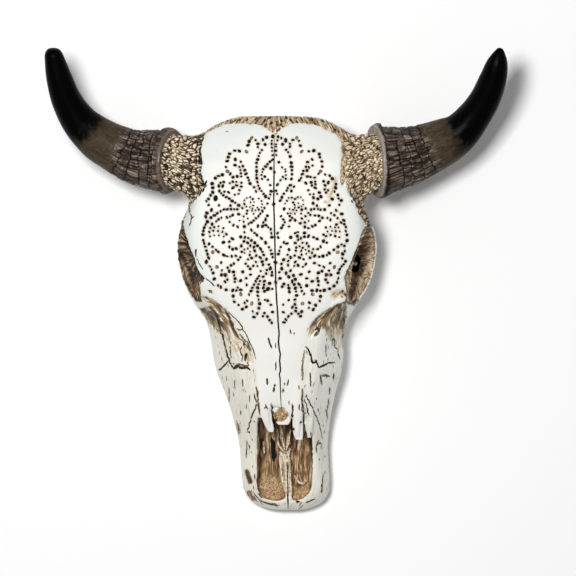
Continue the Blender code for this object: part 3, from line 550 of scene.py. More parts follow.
class SkullSettings(bpy.types.PropertyGroup):
    """Sizes and colours of the carved bone."""

    mesh_size: bpy.props.FloatProperty(
        name="Mesh size", description="Width of the faces of the plain bone", default=2.6 * MM,
        min=2.0 * MM, unit="LENGTH")
    dot_scale: bpy.props.FloatProperty(
        name="Dot scale", description="Share that the drilled dots are scaled by", default=1.0,
        min=0.5, max=1.5, subtype="FACTOR")
    dot_depth: bpy.props.FloatProperty(
        name="Dot depth", description="How deep the dots are drilled", default=2.4 * MM,
        min=0.5 * MM, unit="LENGTH")
    cool_white: bpy.props.FloatVectorProperty(
        name="Cool white", description="Paint at the edges of the bone", subtype="COLOR",
        default=(0.745, 0.768, 0.738), min=0.0, max=1.0)
    warm_white: bpy.props.FloatVectorProperty(
        name="Warm white", description="Paint between the dots", subtype="COLOR",
        default=(0.86, 0.845, 0.80), min=0.0, max=1.0)


class HornSettings(bpy.types.PropertyGroup):
    """Sizes and colours of the horns."""

    crack_depth: bpy.props.FloatProperty(
        name="Crack depth", description="Depth of the cracks round the base", default=1.9 * MM,
        min=0.0, unit="LENGTH")
    base_brown: bpy.props.FloatVectorProperty(
        name="Base brown", description="Ringed base of the horn", subtype="COLOR",
        default=(0.112, 0.085, 0.064), min=0.0, max=1.0)
    middle_olive: bpy.props.FloatVectorProperty(
        name="Middle olive", description="Smooth middle of the horn", subtype="COLOR",
        default=(0.066, 0.049, 0.029), min=0.0, max=1.0)
    tip_black: bpy.props.FloatVectorProperty(
        name="Tip black", description="Tip of the horn", subtype="COLOR",
        default=(0.001, 0.001, 0.001), min=0.0, max=1.0)


class StageSettings(bpy.types.PropertyGroup):
    """Floor, light and camera."""

    floor_white: bpy.props.FloatVectorProperty(
        name="Floor white", description="Plain floor", subtype="COLOR",
        default=(0.955, 0.955, 0.955), min=0.0, max=1.0)
    view_width: bpy.props.FloatProperty(
        name="View width", description="Width of the camera's view at the skull",
        default=576 * DRAWING_UNIT * MM, min=0.1, unit="LENGTH")


def on_drawing(points):
    """Turn points of the drawing into millimetres."""
    points = np.asarray(points, dtype=float)
    return np.stack(((points[..., 0] - DRAWING_CENTRE[0]) * DRAWING_UNIT,
                     (DRAWING_CENTRE[1] - points[..., 1]) * DRAWING_UNIT), axis=-1)


def midline_at(height):
    """Give the midline's place across the drawing at a height on it."""
    return float(np.interp(height, [row[1] for row in MIDLINE], [row[0] for row in MIDLINE]))


def only(item):
    """Select one object alone and make it active."""
    bpy.ops.object.select_all(action="DESELECT")
    item.select_set(True)
    bpy.context.view_layer.objects.active = item
    return item


def rise(start, end, values):
    """Rise smoothly from 0 at start to 1 at end."""
    share = np.clip((values - start) / (end - start), 0.0, 1.0)
    return share * share * (3 - 2 * share)


def places_of(mesh):
    """Give a mesh's vertices in millimetres."""
    places = np.empty(len(mesh.vertices) * 3, dtype=np.float32)
    mesh.vertices.foreach_get("co", places)
    return places.reshape(-1, 3).astype(float) / MM


def directions_of(mesh):
    """Give the way each vertex faces."""
    normals = np.empty(len(mesh.vertices) * 3, dtype=np.float32)
    mesh.vertices.foreach_get("normal", normals)
    return normals.reshape(-1, 3).astype(float)


def move_to(mesh, places):
    """Move a mesh's vertices to places in millimetres."""
    mesh.vertices.foreach_set("co", (places * MM).astype(np.float32).ravel())
    mesh.update()


def keep(mesh, name, values):
    """Store one number for each vertex."""
    layer = mesh.attributes.get(name) or mesh.attributes.new(name, "FLOAT", "POINT")
    layer.data.foreach_set("value", np.ascontiguousarray(values, dtype=np.float32))


def kept_numbers(mesh, name):
    """Read the numbers stored for each vertex."""
    numbers = np.empty(len(mesh.vertices), dtype=np.float32)
    mesh.attributes[name].data.foreach_get("value", numbers)
    return numbers


def inside(points, x, y):
    """Give the distance in millimetres to a closed outline, above 0 inside it."""
    nearest = np.full(len(x), 1e9)
    within = np.zeros(len(x), dtype=bool)
    for (ax, ay), (bx, by) in zip(points, np.roll(points, -1, axis=0)):
        dx, dy = bx - ax, by - ay
        share = np.clip(((x - ax) * dx + (y - ay) * dy) / (dx * dx + dy * dy), 0.0, 1.0)
        nearest = np.minimum(nearest, np.hypot(x - ax - share * dx, y - ay - share * dy))
        crossed = (ay > y) != (by > y)
        at = ax + (y - ay) * dx / (dy if abs(dy) > 1e-9 else 1e-9)
        within ^= crossed & (x < at)
    return np.where(within, nearest, -nearest)


def slanted(x, y, up, down):
    """Give both ends of a short dash that leans out from the midline."""
    lean = 1.0 if x < 274 else -1.0
    return (x - lean, y + up), (x + lean, y - down)


def line_distance(lines, x, y):
    """Give how deep each place lies in soft painted lines, from 0 outside to their strength."""
    depth = np.zeros(len(x))
    for strength, half_width, corners in lines:
        points = on_drawing(corners)
        half_width = half_width * DRAWING_UNIT
        low, high = points.min(axis=0) - 8.0, points.max(axis=0) + 8.0
        near = np.nonzero((x > low[0]) & (x < high[0]) & (y > low[1]) & (y < high[1]))[0]
        nearest = np.full(len(near), 1e9)
        for (ax, ay), (bx, by) in zip(points, points[1:]):
            dx, dy = bx - ax, by - ay
            share = ((x[near] - ax) * dx + (y[near] - ay) * dy) / max(dx * dx + dy * dy, 1e-9)
            share = np.clip(share, 0.0, 1.0)
            nearest = np.minimum(nearest, np.hypot(x[near] - ax - share * dx,
                                                   y[near] - ay - share * dy))
        depth[near] = np.maximum(depth[near], strength * (1.0 - rise(0.0, half_width * 1.5, nearest)))
    return depth


def flow(strands, x, y):
    """Give each place its way across and along a set of strands, in millimetres."""
    across, along, weights = np.zeros(len(x)), np.zeros(len(x)), np.zeros(len(x))
    label, last = 0.0, None
    for corners in strands:
        points = on_drawing(corners)
        if last is not None:
            label += np.linalg.norm(points[:, None] - last[None], axis=2).min(axis=1).mean()
        last = points
        nearest, offset, way = (np.full(len(x), start) for start in (1e9, 0.0, 0.0))
        length = 0.0
        for (ax, ay), (bx, by) in zip(points, points[1:]):
            size = math.hypot(bx - ax, by - ay)
            dx, dy = (bx - ax) / size, (by - ay) / size
            forth = (x - ax) * dx + (y - ay) * dy
            aside = (x - ax) * dy - (y - ay) * dx
            gap = np.hypot(aside, forth - np.clip(forth, 0.0, size))
            nearer = gap < nearest
            nearest, offset = np.where(nearer, gap, nearest), np.where(nearer, aside, offset)
            way = np.where(nearer, length + forth, way)
            length += size
        weight = 1.0 / (nearest + 0.8) ** 3
        across += weight * (label + offset)
        along += weight * way
        weights += weight
    return across / weights, along / weights


def wrapped(name, rings):
    """Wrap a grid into a closed tube through rings of points in millimetres, first to last."""
    rings = np.asarray(rings, dtype=float)
    rows, sides = rings.shape[0] - 1, rings.shape[1] - 1
    bpy.ops.object.select_all(action="DESELECT")
    bpy.ops.mesh.primitive_grid_add(x_subdivisions=rows, y_subdivisions=sides, size=1.0)
    tube = bpy.context.object
    tube.name = name
    tube.data.name = name
    grid = places_of(tube.data) * MM + 0.5
    row = np.round(grid[:, 0] * rows).astype(int)
    side = np.round(grid[:, 1] * sides).astype(int)
    tube.data.vertices.foreach_set("co", (rings[row, side] * MM).astype(np.float32).ravel())
    return tube, row, side


def merge_doubles(item, threshold, outwards=True):
    """Merge an object's doubles and turn its faces outwards."""
    only(item)
    bpy.ops.object.mode_set(mode="EDIT")
    bpy.ops.mesh.select_all(action="SELECT")
    bpy.ops.mesh.remove_doubles(threshold=threshold)
    if outwards:
        bpy.ops.mesh.normals_make_consistent(inside=False)
    bpy.ops.object.mode_set(mode="OBJECT")
    return item


def edit_faces(item, wanted, operator, **values):
    """Run an edit on the faces of an object that a test picks."""
    only(item)
    bpy.ops.object.mode_set(mode="EDIT")
    bpy.ops.mesh.select_mode(type="FACE")
    bpy.ops.mesh.select_all(action="DESELECT")
    build = bmesh.from_edit_mesh(item.data)
    for face in build.faces:
        face.select_set(bool(wanted(face)))
    bmesh.update_edit_mesh(item.data)
    operator(**values)
    bpy.ops.object.mode_set(mode="OBJECT")


class Term:
    """A value on a board of nodes, which makes Math nodes when it is used in a sum."""

    def __init__(self, board, socket):
        self.board = board
        self.socket = socket

    def __add__(self, other):
        return self.board.maths("ADD", self, other)

    def __radd__(self, other):
        return self.board.maths("ADD", other, self)

    def __sub__(self, other):
        return self.board.maths("SUBTRACT", self, other)

    def __rsub__(self, other):
        return self.board.maths("SUBTRACT", other, self)

    def __mul__(self, other):
        return self.board.maths("MULTIPLY", self, other)

    def __rmul__(self, other):
        return self.board.maths("MULTIPLY", other, self)

    def __truediv__(self, other):
        return self.board.maths("DIVIDE", self, other)


class Board:
    """The nodes of one material or of one relief."""

    def __init__(self, tree):
        self.tree = tree
        self.for_relief = tree.bl_idname == "GeometryNodeTree"

    def node(self, kind, settings=None, sockets=None):
        """Add a node: its settings first, then the values or links of its sockets."""
        node = self.tree.nodes.new(kind)
        for name, value in (settings or {}).items():
            if name == "stops":
                self.set_stops(node.color_ramp, value)
            else:
                setattr(node, name, value)
        for key, value in (sockets or {}).items():
            if isinstance(value, Term):
                self.tree.links.new(value.socket, node.inputs[key])
            else:
                node.inputs[key].default_value = value
        return node

    @staticmethod
    def set_stops(ramp, stops):
        """Give a colour ramp its places and colours."""
        while len(ramp.elements) < len(stops):
            ramp.elements.new(0.5)
        for element, (place, colour) in zip(ramp.elements, stops):
            element.position = place
            element.color = (*colour, 1.0)

    def term(self, kind, settings=None, sockets=None, output=0):
        """Add a node and give one of its outputs."""
        return Term(self, self.node(kind, settings, sockets).outputs[output])

    def maths(self, operation, *values):
        """Add a Math node."""
        return self.term("ShaderNodeMath", {"operation": operation}, dict(enumerate(values)))

    def high(self, first, second):
        """Give the higher of two values."""
        return self.maths("MAXIMUM", first, second)

    def named(self, name):
        """Read a number stored on the mesh."""
        if self.for_relief:
            return self.term("GeometryNodeInputNamedAttribute", {"data_type": "FLOAT"},
                             {"Name": name}, "Attribute")
        return self.term("ShaderNodeAttribute", {"attribute_name": name}, None, "Fac")

    def vector(self, x, y, z=0.0):
        """Join three values."""
        return self.term("ShaderNodeCombineXYZ", None, {0: x, 1: y, 2: z})

    def rise(self, value, start, end):
        """Rise smoothly from 0 at start to 1 at end."""
        return self.term("ShaderNodeMapRange", {"interpolation_type": "SMOOTHSTEP"},
                         {"Value": value, "From Min": start, "From Max": end})

    def noise(self, place, detail=2.0, roughness=0.5):
        """Give cloudy noise round 0.5 with features about one unit wide."""
        return self.term("ShaderNodeTexNoise", {"noise_dimensions": "3D"},
                         {"Vector": place, "Scale": 1.0, "Detail": detail, "Roughness": roughness})

    def cells(self, place, feature="DISTANCE_TO_EDGE"):
        """Give the distance to the gaps between cells one unit wide, or to their points with F1."""
        return self.term("ShaderNodeTexVoronoi", {"feature": feature},
                         {"Vector": place, "Scale": 1.0, "Randomness": 1.0}, "Distance")

    def mix(self, share, first, second):
        """Mix two values."""
        return first + (second - first) * share

    def paint(self, share, first, second):
        """Mix two colours."""
        sockets = {0: share, 6: self.colour(first), 7: self.colour(second)}
        return self.term("ShaderNodeMix", {"data_type": "RGBA", "blend_type": "MIX"}, sockets, 2)

    @staticmethod
    def colour(value):
        """Give a plain colour its alpha."""
        return value if isinstance(value, Term) else (*value, 1.0)

    def ramp(self, value, *stops):
        """Turn a value into a colour, between screen colours at places on the ramp."""
        stops = [(place, shade(*colour)) for place, colour in stops]
        return self.term("ShaderNodeValToRGB", {"stops": stops}, {0: value})

    def bump(self, height, strength, depth):
        """Shade a relief of a depth in millimetres."""
        return self.term("ShaderNodeBump", None,
                         {"Strength": strength, "Distance": depth * MM, "Height": height})


def shade(red, green, blue):
    """Turn a screen colour into the light it stands for."""
    return tuple(((part / 255 + 0.055) / 1.055) ** 2.4 if part > 10 else part / 255 / 12.92
                 for part in (red, green, blue))


def new_material(name):
    """Make an empty material and the board of its nodes."""
    material = bpy.data.materials.new(name)
    material.use_nodes = True
    material.node_tree.nodes.clear()
    return material, Board(material.node_tree)


def new_relief(name):
    """Make an empty group of geometry nodes and its board."""
    tree = bpy.data.node_groups.new(name, "GeometryNodeTree")
    for way in ("INPUT", "OUTPUT"):
        tree.interface.new_socket("Geometry", in_out=way, socket_type="NodeSocketGeometry")
    return tree, Board(tree)


def finish_relief(board, depth):
    """Move each vertex along its normal by a depth in metres."""
    offset = board.term("ShaderNodeVectorMath", {"operation": "SCALE"},
                        {0: board.term("GeometryNodeInputNormal"), "Scale": depth})
    start = board.node("NodeGroupInput")
    move = board.node("GeometryNodeSetPosition", None, {"Offset": offset})
    end = board.node("NodeGroupOutput")
    board.tree.links.new(start.outputs[0], move.inputs["Geometry"])
    board.tree.links.new(move.outputs["Geometry"], end.inputs[0])


def locks(board, across, along, width, length, seed, gap=0.3, wild=1.0):
    """Give tooled hair: long bent strands, from 0 in a gap to 1 on a strand."""
    sway = (board.noise(board.vector(across / (width * 5.0), along / length, seed)) - 0.5) * wild
    coarse = board.vector(across / width + sway * 3.0, along / length, seed + 2.0)
    fine = board.vector(across / (width * 0.42) + sway * 7.0, along / (length * 0.7), seed + 3.0)
    strands = (0.55 * board.rise(board.noise(coarse, 1.0), 0.32, 0.66)
               + 0.45 * board.rise(board.noise(fine, 2.0, 0.6), 0.32, 0.66))
    place = board.vector(across / (width * 1.5) + sway * 2.6, along / (length * 1.1) + sway, seed)
    lock = board.rise(board.cells(place), 0.0, gap)
    tone = board.noise(board.vector(across / (width * 2.6), along / (length * 0.6), seed + 9.0))
    return (0.3 + 0.7 * lock) * strands * (0.55 + 0.95 * tone)


def chips(board, along, around, length, width, seed, fine=1.0, gap=0.26):
    """Give staggered chips, from 0 in the gaps to 1 on top."""
    sway = board.noise(board.vector(along / 7.0, around / 7.0, seed)) - 0.5
    bend = board.noise(board.vector(along / 7.0, around / 7.0, seed + 31.0)) - 0.5
    place = board.vector(along / length + sway * 1.8, around / width + bend * 1.8, seed)
    chip = board.rise(board.cells(place), 0.0, gap)
    streak = board.vector(along / (2.6 * fine) + bend * 3.0, around / (0.9 * fine) + sway * 4.0, seed)
    grain = board.rise(board.noise(streak, 2.0, 0.6), 0.32, 0.66)
    tone = board.noise(board.vector(along / 5.5, around / 3.6, seed + 5.0))
    floor = board.rise(board.noise(board.vector(along / 6.0, around / 4.4, seed + 17.0)), 0.40, 0.60)
    value = chip * (0.34 + 0.44 * grain + 0.7 * (tone - 0.25))
    return board.high(value, floor * 0.26)


def tooling(board):
    """Read the regions of the skull and give the tooling of each, the same for shape and paint."""
    x, y, z = (board.named(name) for name in ("rest_x", "rest_y", "rest_z"))
    place = board.vector(x / 3.2, y / 3.2, z / 3.2)
    ragged = (board.noise(place, 3.0, 0.6) - 0.5) * 4.4
    tooled = board.rise(board.named("tooled") + ragged, -0.5, 0.5)
    socket = board.rise(board.named("socket") + ragged * 0.7, -0.5, 0.5)
    hollow = board.rise(board.named("hollow") + ragged * 1.3, -1.2, 1.6)
    nose = board.rise(board.named("nose") + ragged * 0.4, -0.8, 0.8)
    over, run = board.named("over"), board.named("run")
    hair = chips(board, board.named("poll_along"), board.named("poll_slant"), 4.2, 2.4, 1.7, 0.8, 0.42)
    core = chips(board, run, over, 5.6, 3.3, 4.3)
    ridge = board.mix(board.named("core_share"), hair, core)
    rays = locks(board, over, run, 1.9, 11.0, 9.4, 0.34, 1.5)
    streaks = locks(board, over, run, 1.8, 15.0, 2.9, 0.36, 1.2)
    stripes = locks(board, x, y, 1.9, 22.0, 5.5)
    grains = board.rise(board.noise(board.vector(x / 1.5, y / 1.5, 8.8), 2.0, 0.6), 0.3, 0.72)
    dug = board.rise(board.noise(board.vector(x / 1.9, y / 1.9, 48.0), 3.0, 0.6), 0.54, 0.68)
    grains = 0.08 + 0.42 * grains + 0.5 * board.noise(board.vector(x / 5.0, y / 5.0, 3.8)) - 0.2 * dug
    lumps = board.rise(board.named("lumps") + ragged * 1.5, -5.0, 4.0)
    stripes = board.mix(lumps, stripes, grains)
    return {
        "x": x, "y": y, "z": z, "ragged": ragged, "tooled": tooled, "socket": socket,
        "hollow": hollow, "nose": nose, "ridge": ridge, "rays": rays, "streaks": streaks,
        "stripes": stripes,
    }


def relief_nodes():
    """Make the relief that lowers the tooled regions and their gaps, as a modifier's nodes."""
    tree, board = new_relief("tooled_relief")
    parts = tooling(board)
    dents = board.noise(board.vector(parts["x"] / 24.0, parts["y"] / 24.0, parts["z"] / 24.0), 3.0)
    lowered = 0.35 * dents
    for region, form, step, depth in (("tooled", "ridge", 0.9, 1.7), ("socket", "rays", 1.6, 1.5),
                                      ("hollow", "streaks", 0.6, 1.1), ("nose", "stripes", 0.2, 1.3)):
        lowered = lowered + parts[region] * (step + depth * (1.0 - parts[form]))
    across = board.named("flank_across")
    flank = board.rise(board.named("flank") + parts["ragged"], -1.0, 1.0)
    lowered = lowered + flank * board.named("front") * 0.8 * board.rise(
        board.noise(board.vector(across / 2.6, parts["y"] / 20.0, 3.3)), 0.5, 0.75)
    finish_relief(board, lowered * (-MM))
    return tree


def socket_wall(x, y, z):
    """Give how near each place lies to the wall of the ball of its eye socket, above 0 on it."""
    right_x, up_y, front_z = ORBIT_CENTRE
    wide, long, deep = ORBIT_HALF
    px, py, pz = np.abs(x) - right_x, y - up_y, z - front_z
    along = px * math.sin(ORBIT_TURN) + py * math.cos(ORBIT_TURN)
    sideways = px * math.cos(ORBIT_TURN) - py * math.sin(ORBIT_TURN)
    outward = sideways * math.sin(ORBIT_LEAN) + pz * math.cos(ORBIT_LEAN)
    across = sideways * math.cos(ORBIT_LEAN) - pz * math.sin(ORBIT_LEAN)
    hollowed = 1.0 - np.sqrt((across / wide) ** 2 + (along / long) ** 2 + (outward / deep) ** 2)
    return np.minimum(3.2 - np.abs(hollowed) * deep, 3.0 - outward)


def lay_out(mesh, rest):
    """Store on a skull mesh where each vertex lies in the regions and flows of the carving."""
    x, y, z = rest.T
    side = np.where(x < 0, -1.0, 1.0)

    def within(*outlines):
        """Give the distance to the nearest of some outlines of the drawing, above 0 inside."""
        return np.maximum.reduce([inside(on_drawing(points), x, y) for points in outlines])

    for name, values in zip(("rest_x", "rest_y", "rest_z"), (x, y, z)):
        keep(mesh, name, values)
    keep(mesh, "tooled", np.minimum(within(TOOLED_LEFT, TOOLED_RIGHT), z - CORE_FLOOR))

    # Locks that spread over the poll, and the strands of the cores, sockets and hollows
    hub_x, hub_y = on_drawing(POLL_HUB)
    fan = np.arctan2(x - hub_x, np.maximum(y - hub_y, 5.0)) * 160.0
    reach = np.sqrt((x - hub_x) ** 2 + (y - hub_y) ** 2)
    keep(mesh, "poll_along", np.sqrt((x - hub_x) ** 2 + (y - hub_y) ** 2 + z ** 2))
    keep(mesh, "poll_slant", fan - 1.1 * (reach - 150.0) * -np.tanh(x / 25.0))
    keep(mesh, "core_share", rise(66.0, 82.0, np.abs(x)))
    plan = within(SOCKET_LEFT, SOCKET_RIGHT)
    flows = {name: flow(strands, x, y) for name, strands in STRANDS.items()}
    for row, name in enumerate(("over", "run")):
        core, socket, hollow = (
            np.where(x < 0, flows[region + "_left"][row], flows[region + "_right"][row])
            for region in ("core", "socket", "hollow"))
        keep(mesh, name, np.where(y > CORE_END, core, np.where(plan > SOCKET_BORDER, socket, hollow)))

    keep(mesh, "socket", np.maximum(np.minimum(plan, z - SOCKET_FLOOR), socket_wall(x, y, z)))
    keep(mesh, "hollow", np.minimum(within(*HOLLOWS), z - HOLLOW_FLOOR))

    # Parts of the nose
    rim = np.interp(y, [row[0] for row in NOSE_RIM_MM], [row[1] for row in NOSE_RIM_MM])
    nose = inside(np.array(NOSE_OUTLINE_MM, dtype=float), x, y)
    chipped = np.minimum(within(NOSE_CHIPS), z - CHIP_FLOOR)
    keep(mesh, "nose", np.maximum(np.minimum(nose + 2.0, rim - 4.0 - z), chipped))
    keep(mesh, "lumps", np.maximum(within(*NOSE_LUMPS), chipped + 2.0))
    keep(mesh, "bar", np.minimum(within(NOSE_BAR) + 0.4, 60.0 - z))

    # Paint
    wide = [line for line in SMEARS if line[1] > WIDE_SMEAR]
    keep(mesh, "smear", line_distance(wide, x, y))
    strokes = [(0.45, 0.55, slanted(*place, 1.8, 1.7)) for place in POLL_STROKES]
    # Dark strands and painted shade in the creases, taken off the paler strands
    dark_and_shade = line_distance(DARK_STRANDS_AND_SHADE, x, y) + line_distance(strokes, x, y)
    keep(mesh, "glow", line_distance(PALER_STRANDS, x, y) - dark_and_shade)
    keep(mesh, "flank", np.minimum(-within(NASAL_BOARD), FLANK_TOP - y))
    keep(mesh, "flank_across", x + side * (90.0 - z) * 0.6)
    keep(mesh, "front", rise(-0.1, 0.35, directions_of(mesh)[:, 2]))
    lace_x, lace_y = on_drawing(LACE_MIDDLE)
    out = np.hypot((x - lace_x) / LACE_REACH_MM[0], (y - lace_y) / LACE_REACH_MM[1])
    keep(mesh, "lace", 1.0 - rise(0.75, 1.15, out))


def lace_dots(chance):
    """Give every drilled dot as place and radius on the drawing, and every stained ring."""
    left = []
    for radius, corners in LACE_CHAINS:
        for start, end in zip(corners, corners[1:]):
            gap = math.dist(start, end)
            count = max(1, round(gap / DOT_SPACING))
            for step in range(count):
                share = step / count
                left.append((start[0] + (end[0] - start[0]) * share,
                             start[1] + (end[1] - start[1]) * share, radius))
        left.append((*corners[-1], radius))
    for x, y, reach, count in LACE_ROSETTES:
        for step in range(count):
            angle = 2 * math.pi * step / count
            left.append((x + reach * math.cos(angle), y + reach * math.sin(angle), ROSETTE_DOT))
    left.extend(LACE_DOTS)
    dots = [*MIDLINE_DOTS, *ODD_DOTS]
    for side in (-1, 1):
        shift = 0.25 if side < 0 else 0.75
        for x, y, radius in left:
            x_now = (2 * midline_at(y) - x if side > 0 else x) + chance.uniform(-shift, shift)
            y_now = y + chance.uniform(-shift, shift)
            dots.append((x_now, y_now, radius * chance.uniform(0.84, 1.32) * DOT_WIDENING))
    kept = []
    for x, y, radius in dots:
        room = all(math.hypot(x - other[0], y - other[1]) > (radius + other[2]) * 0.9
                   for other in kept)
        if room:
            kept.append((x, y, radius))
    rings = [(x, y, RING_LEFT) for x, y in LACE_RINGS]
    rings += [(2 * midline_at(y) - x, y, RING_RIGHT) for x, y in LACE_RINGS]
    return kept, rings


def surface_finder(item):
    """Give a function that finds the surface under a place of the drawing, in millimetres."""
    tree = BVHTree.FromObject(item, bpy.context.evaluated_depsgraph_get())

    def find(x, y):
        across, up = on_drawing((x, y)) * MM
        hit, normal, _face, _distance = tree.ray_cast(Vector((across, up, 0.3)), Vector((0, 0, -1)))
        return hit, normal

    return find


def drill_cutter(name, dots, find, settings, chance, deep=1.0):
    """Make the drills of all the dots: one tapered drill, copied to each dot."""
    bpy.ops.object.select_all(action="DESELECT")
    bpy.ops.mesh.primitive_cone_add(vertices=9, radius1=0.72, radius2=1.0, depth=1.0)
    drill = bpy.context.object
    shape = places_of(drill.data) * MM
    faces = [tuple(face.vertices) for face in drill.data.polygons]
    bpy.data.objects.remove(drill, do_unlink=True)
    above = 0.7 * MM
    points, all_faces = [], []
    for x, y, radius in dots:
        hit, normal = find(x, y)
        if hit is None:
            continue
        axis = (normal + Vector((0, 0, 1.2))).normalized()
        turn = np.array(axis.to_track_quat("Z", "Y").to_matrix())
        wide = radius * DRAWING_UNIT * MM * settings.dot_scale
        depth = settings.dot_depth * (0.6 + 0.3 * radius) * deep + above
        spin = chance.uniform(0, math.pi)
        squash = chance.uniform(0.76, 1.2)
        spun = np.array(((math.cos(spin), -math.sin(spin), 0), (math.sin(spin), math.cos(spin), 0),
                         (0, 0, 1)))
        local = (shape - np.array((0, 0, 0.5))) * np.array((wide * squash, wide / squash, depth))
        placed = local @ spun.T @ turn.T + np.array(hit + axis * above)
        base = len(points)
        points.extend(map(tuple, placed))
        all_faces.extend(tuple(corner + base for corner in face) for face in faces)
    mesh = bpy.data.meshes.new(name)
    mesh.from_pydata(points, [], all_faces)
    return linked(name, mesh)


def linked(name, mesh):
    """Link a mesh as an object of the scene."""
    item = bpy.data.objects.new(name, mesh)
    bpy.context.scene.collection.objects.link(item)
    return item


def rods(name, lines, find, chance, wobble=0.0, lift=0.0, scale=1.12):
    """Make round rods that follow lines over the surface, or at the heights that they give."""
    bpy.ops.object.select_all(action="DESELECT")
    curve = bpy.data.curves.new(name, "CURVE")
    curve.dimensions = "3D"
    curve.bevel_depth = 1.0
    curve.bevel_resolution = 1
    curve.use_fill_caps = True
    for width, corners in lines:
        corners = np.array(corners, dtype=float)
        lengths = np.concatenate(((0.0,), np.cumsum(np.hypot(*np.diff(corners[:, :2], axis=0).T))))
        count = max(3, int(lengths[-1] / ROD_STEP))
        at = np.linspace(0.0, lengths[-1], count + 1)
        places = [np.interp(at, lengths, column) for column in corners.T]
        xs, ys = (column + [chance.uniform(-wobble, wobble) for _point in at]
                  for column in places[:2])
        if len(places) == 3:
            hits = [Vector((*(on_drawing(place[:2]) * MM), place[2] * MM))
                    for place in zip(xs, ys, places[2])]
        else:
            hits = [find(x, y)[0] for x, y in zip(xs, ys)]
        hits = [hit for hit in hits if hit is not None]
        if len(hits) < 2:
            continue
        spline = curve.splines.new("POLY")
        spline.points.add(len(hits) - 1)
        for index, hit in enumerate(hits):
            share = index / (len(hits) - 1)
            taper = min(1.0, 0.4 + 4.0 * min(share, 1 - share))
            taper *= 1.0 + chance.uniform(-wobble, wobble) * (0.5 + lift)
            thick = width * scale * DRAWING_UNIT * MM * taper
            spline.points[index].co = (hit.x, hit.y, hit.z - ROD_SINK + lift * thick, 1.0)
            spline.points[index].radius = thick
    guide = linked(name, curve)
    only(guide)
    bpy.ops.object.convert(target="MESH")
    return merge_doubles(bpy.context.object, 1e-6)


def combine(item, cutter, operation):
    """Cut a shape out of an object, or join it to the object, and drop the shape."""
    only(item)
    modifier = item.modifiers.new(cutter.name, "BOOLEAN")
    modifier.operation = operation
    modifier.solver = "MANIFOLD"
    modifier.object = cutter
    before = len(item.data.polygons)
    bpy.ops.object.modifier_apply(modifier=modifier.name)
    if len(item.data.polygons) < 0.5 * before:
        raise RuntimeError(f"cutting {cutter.name} out of {item.name} lost its faces")
    bpy.data.objects.remove(cutter, do_unlink=True)


def copy_of(node, name):
    """Copy a CAD node's mesh as a new object, with its loose triangles merged."""
    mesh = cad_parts[node].data.copy()
    mesh.materials.clear()
    return merge_doubles(linked(name, mesh), 1e-6, outwards=False)


def add_and_apply(item, kind, **values):
    """Apply one modifier with its settings."""
    only(item)
    modifier = item.modifiers.new(kind.title(), kind)
    for name, value in values.items():
        setattr(modifier, name, value)
    bpy.ops.object.modifier_apply(modifier=modifier.name)


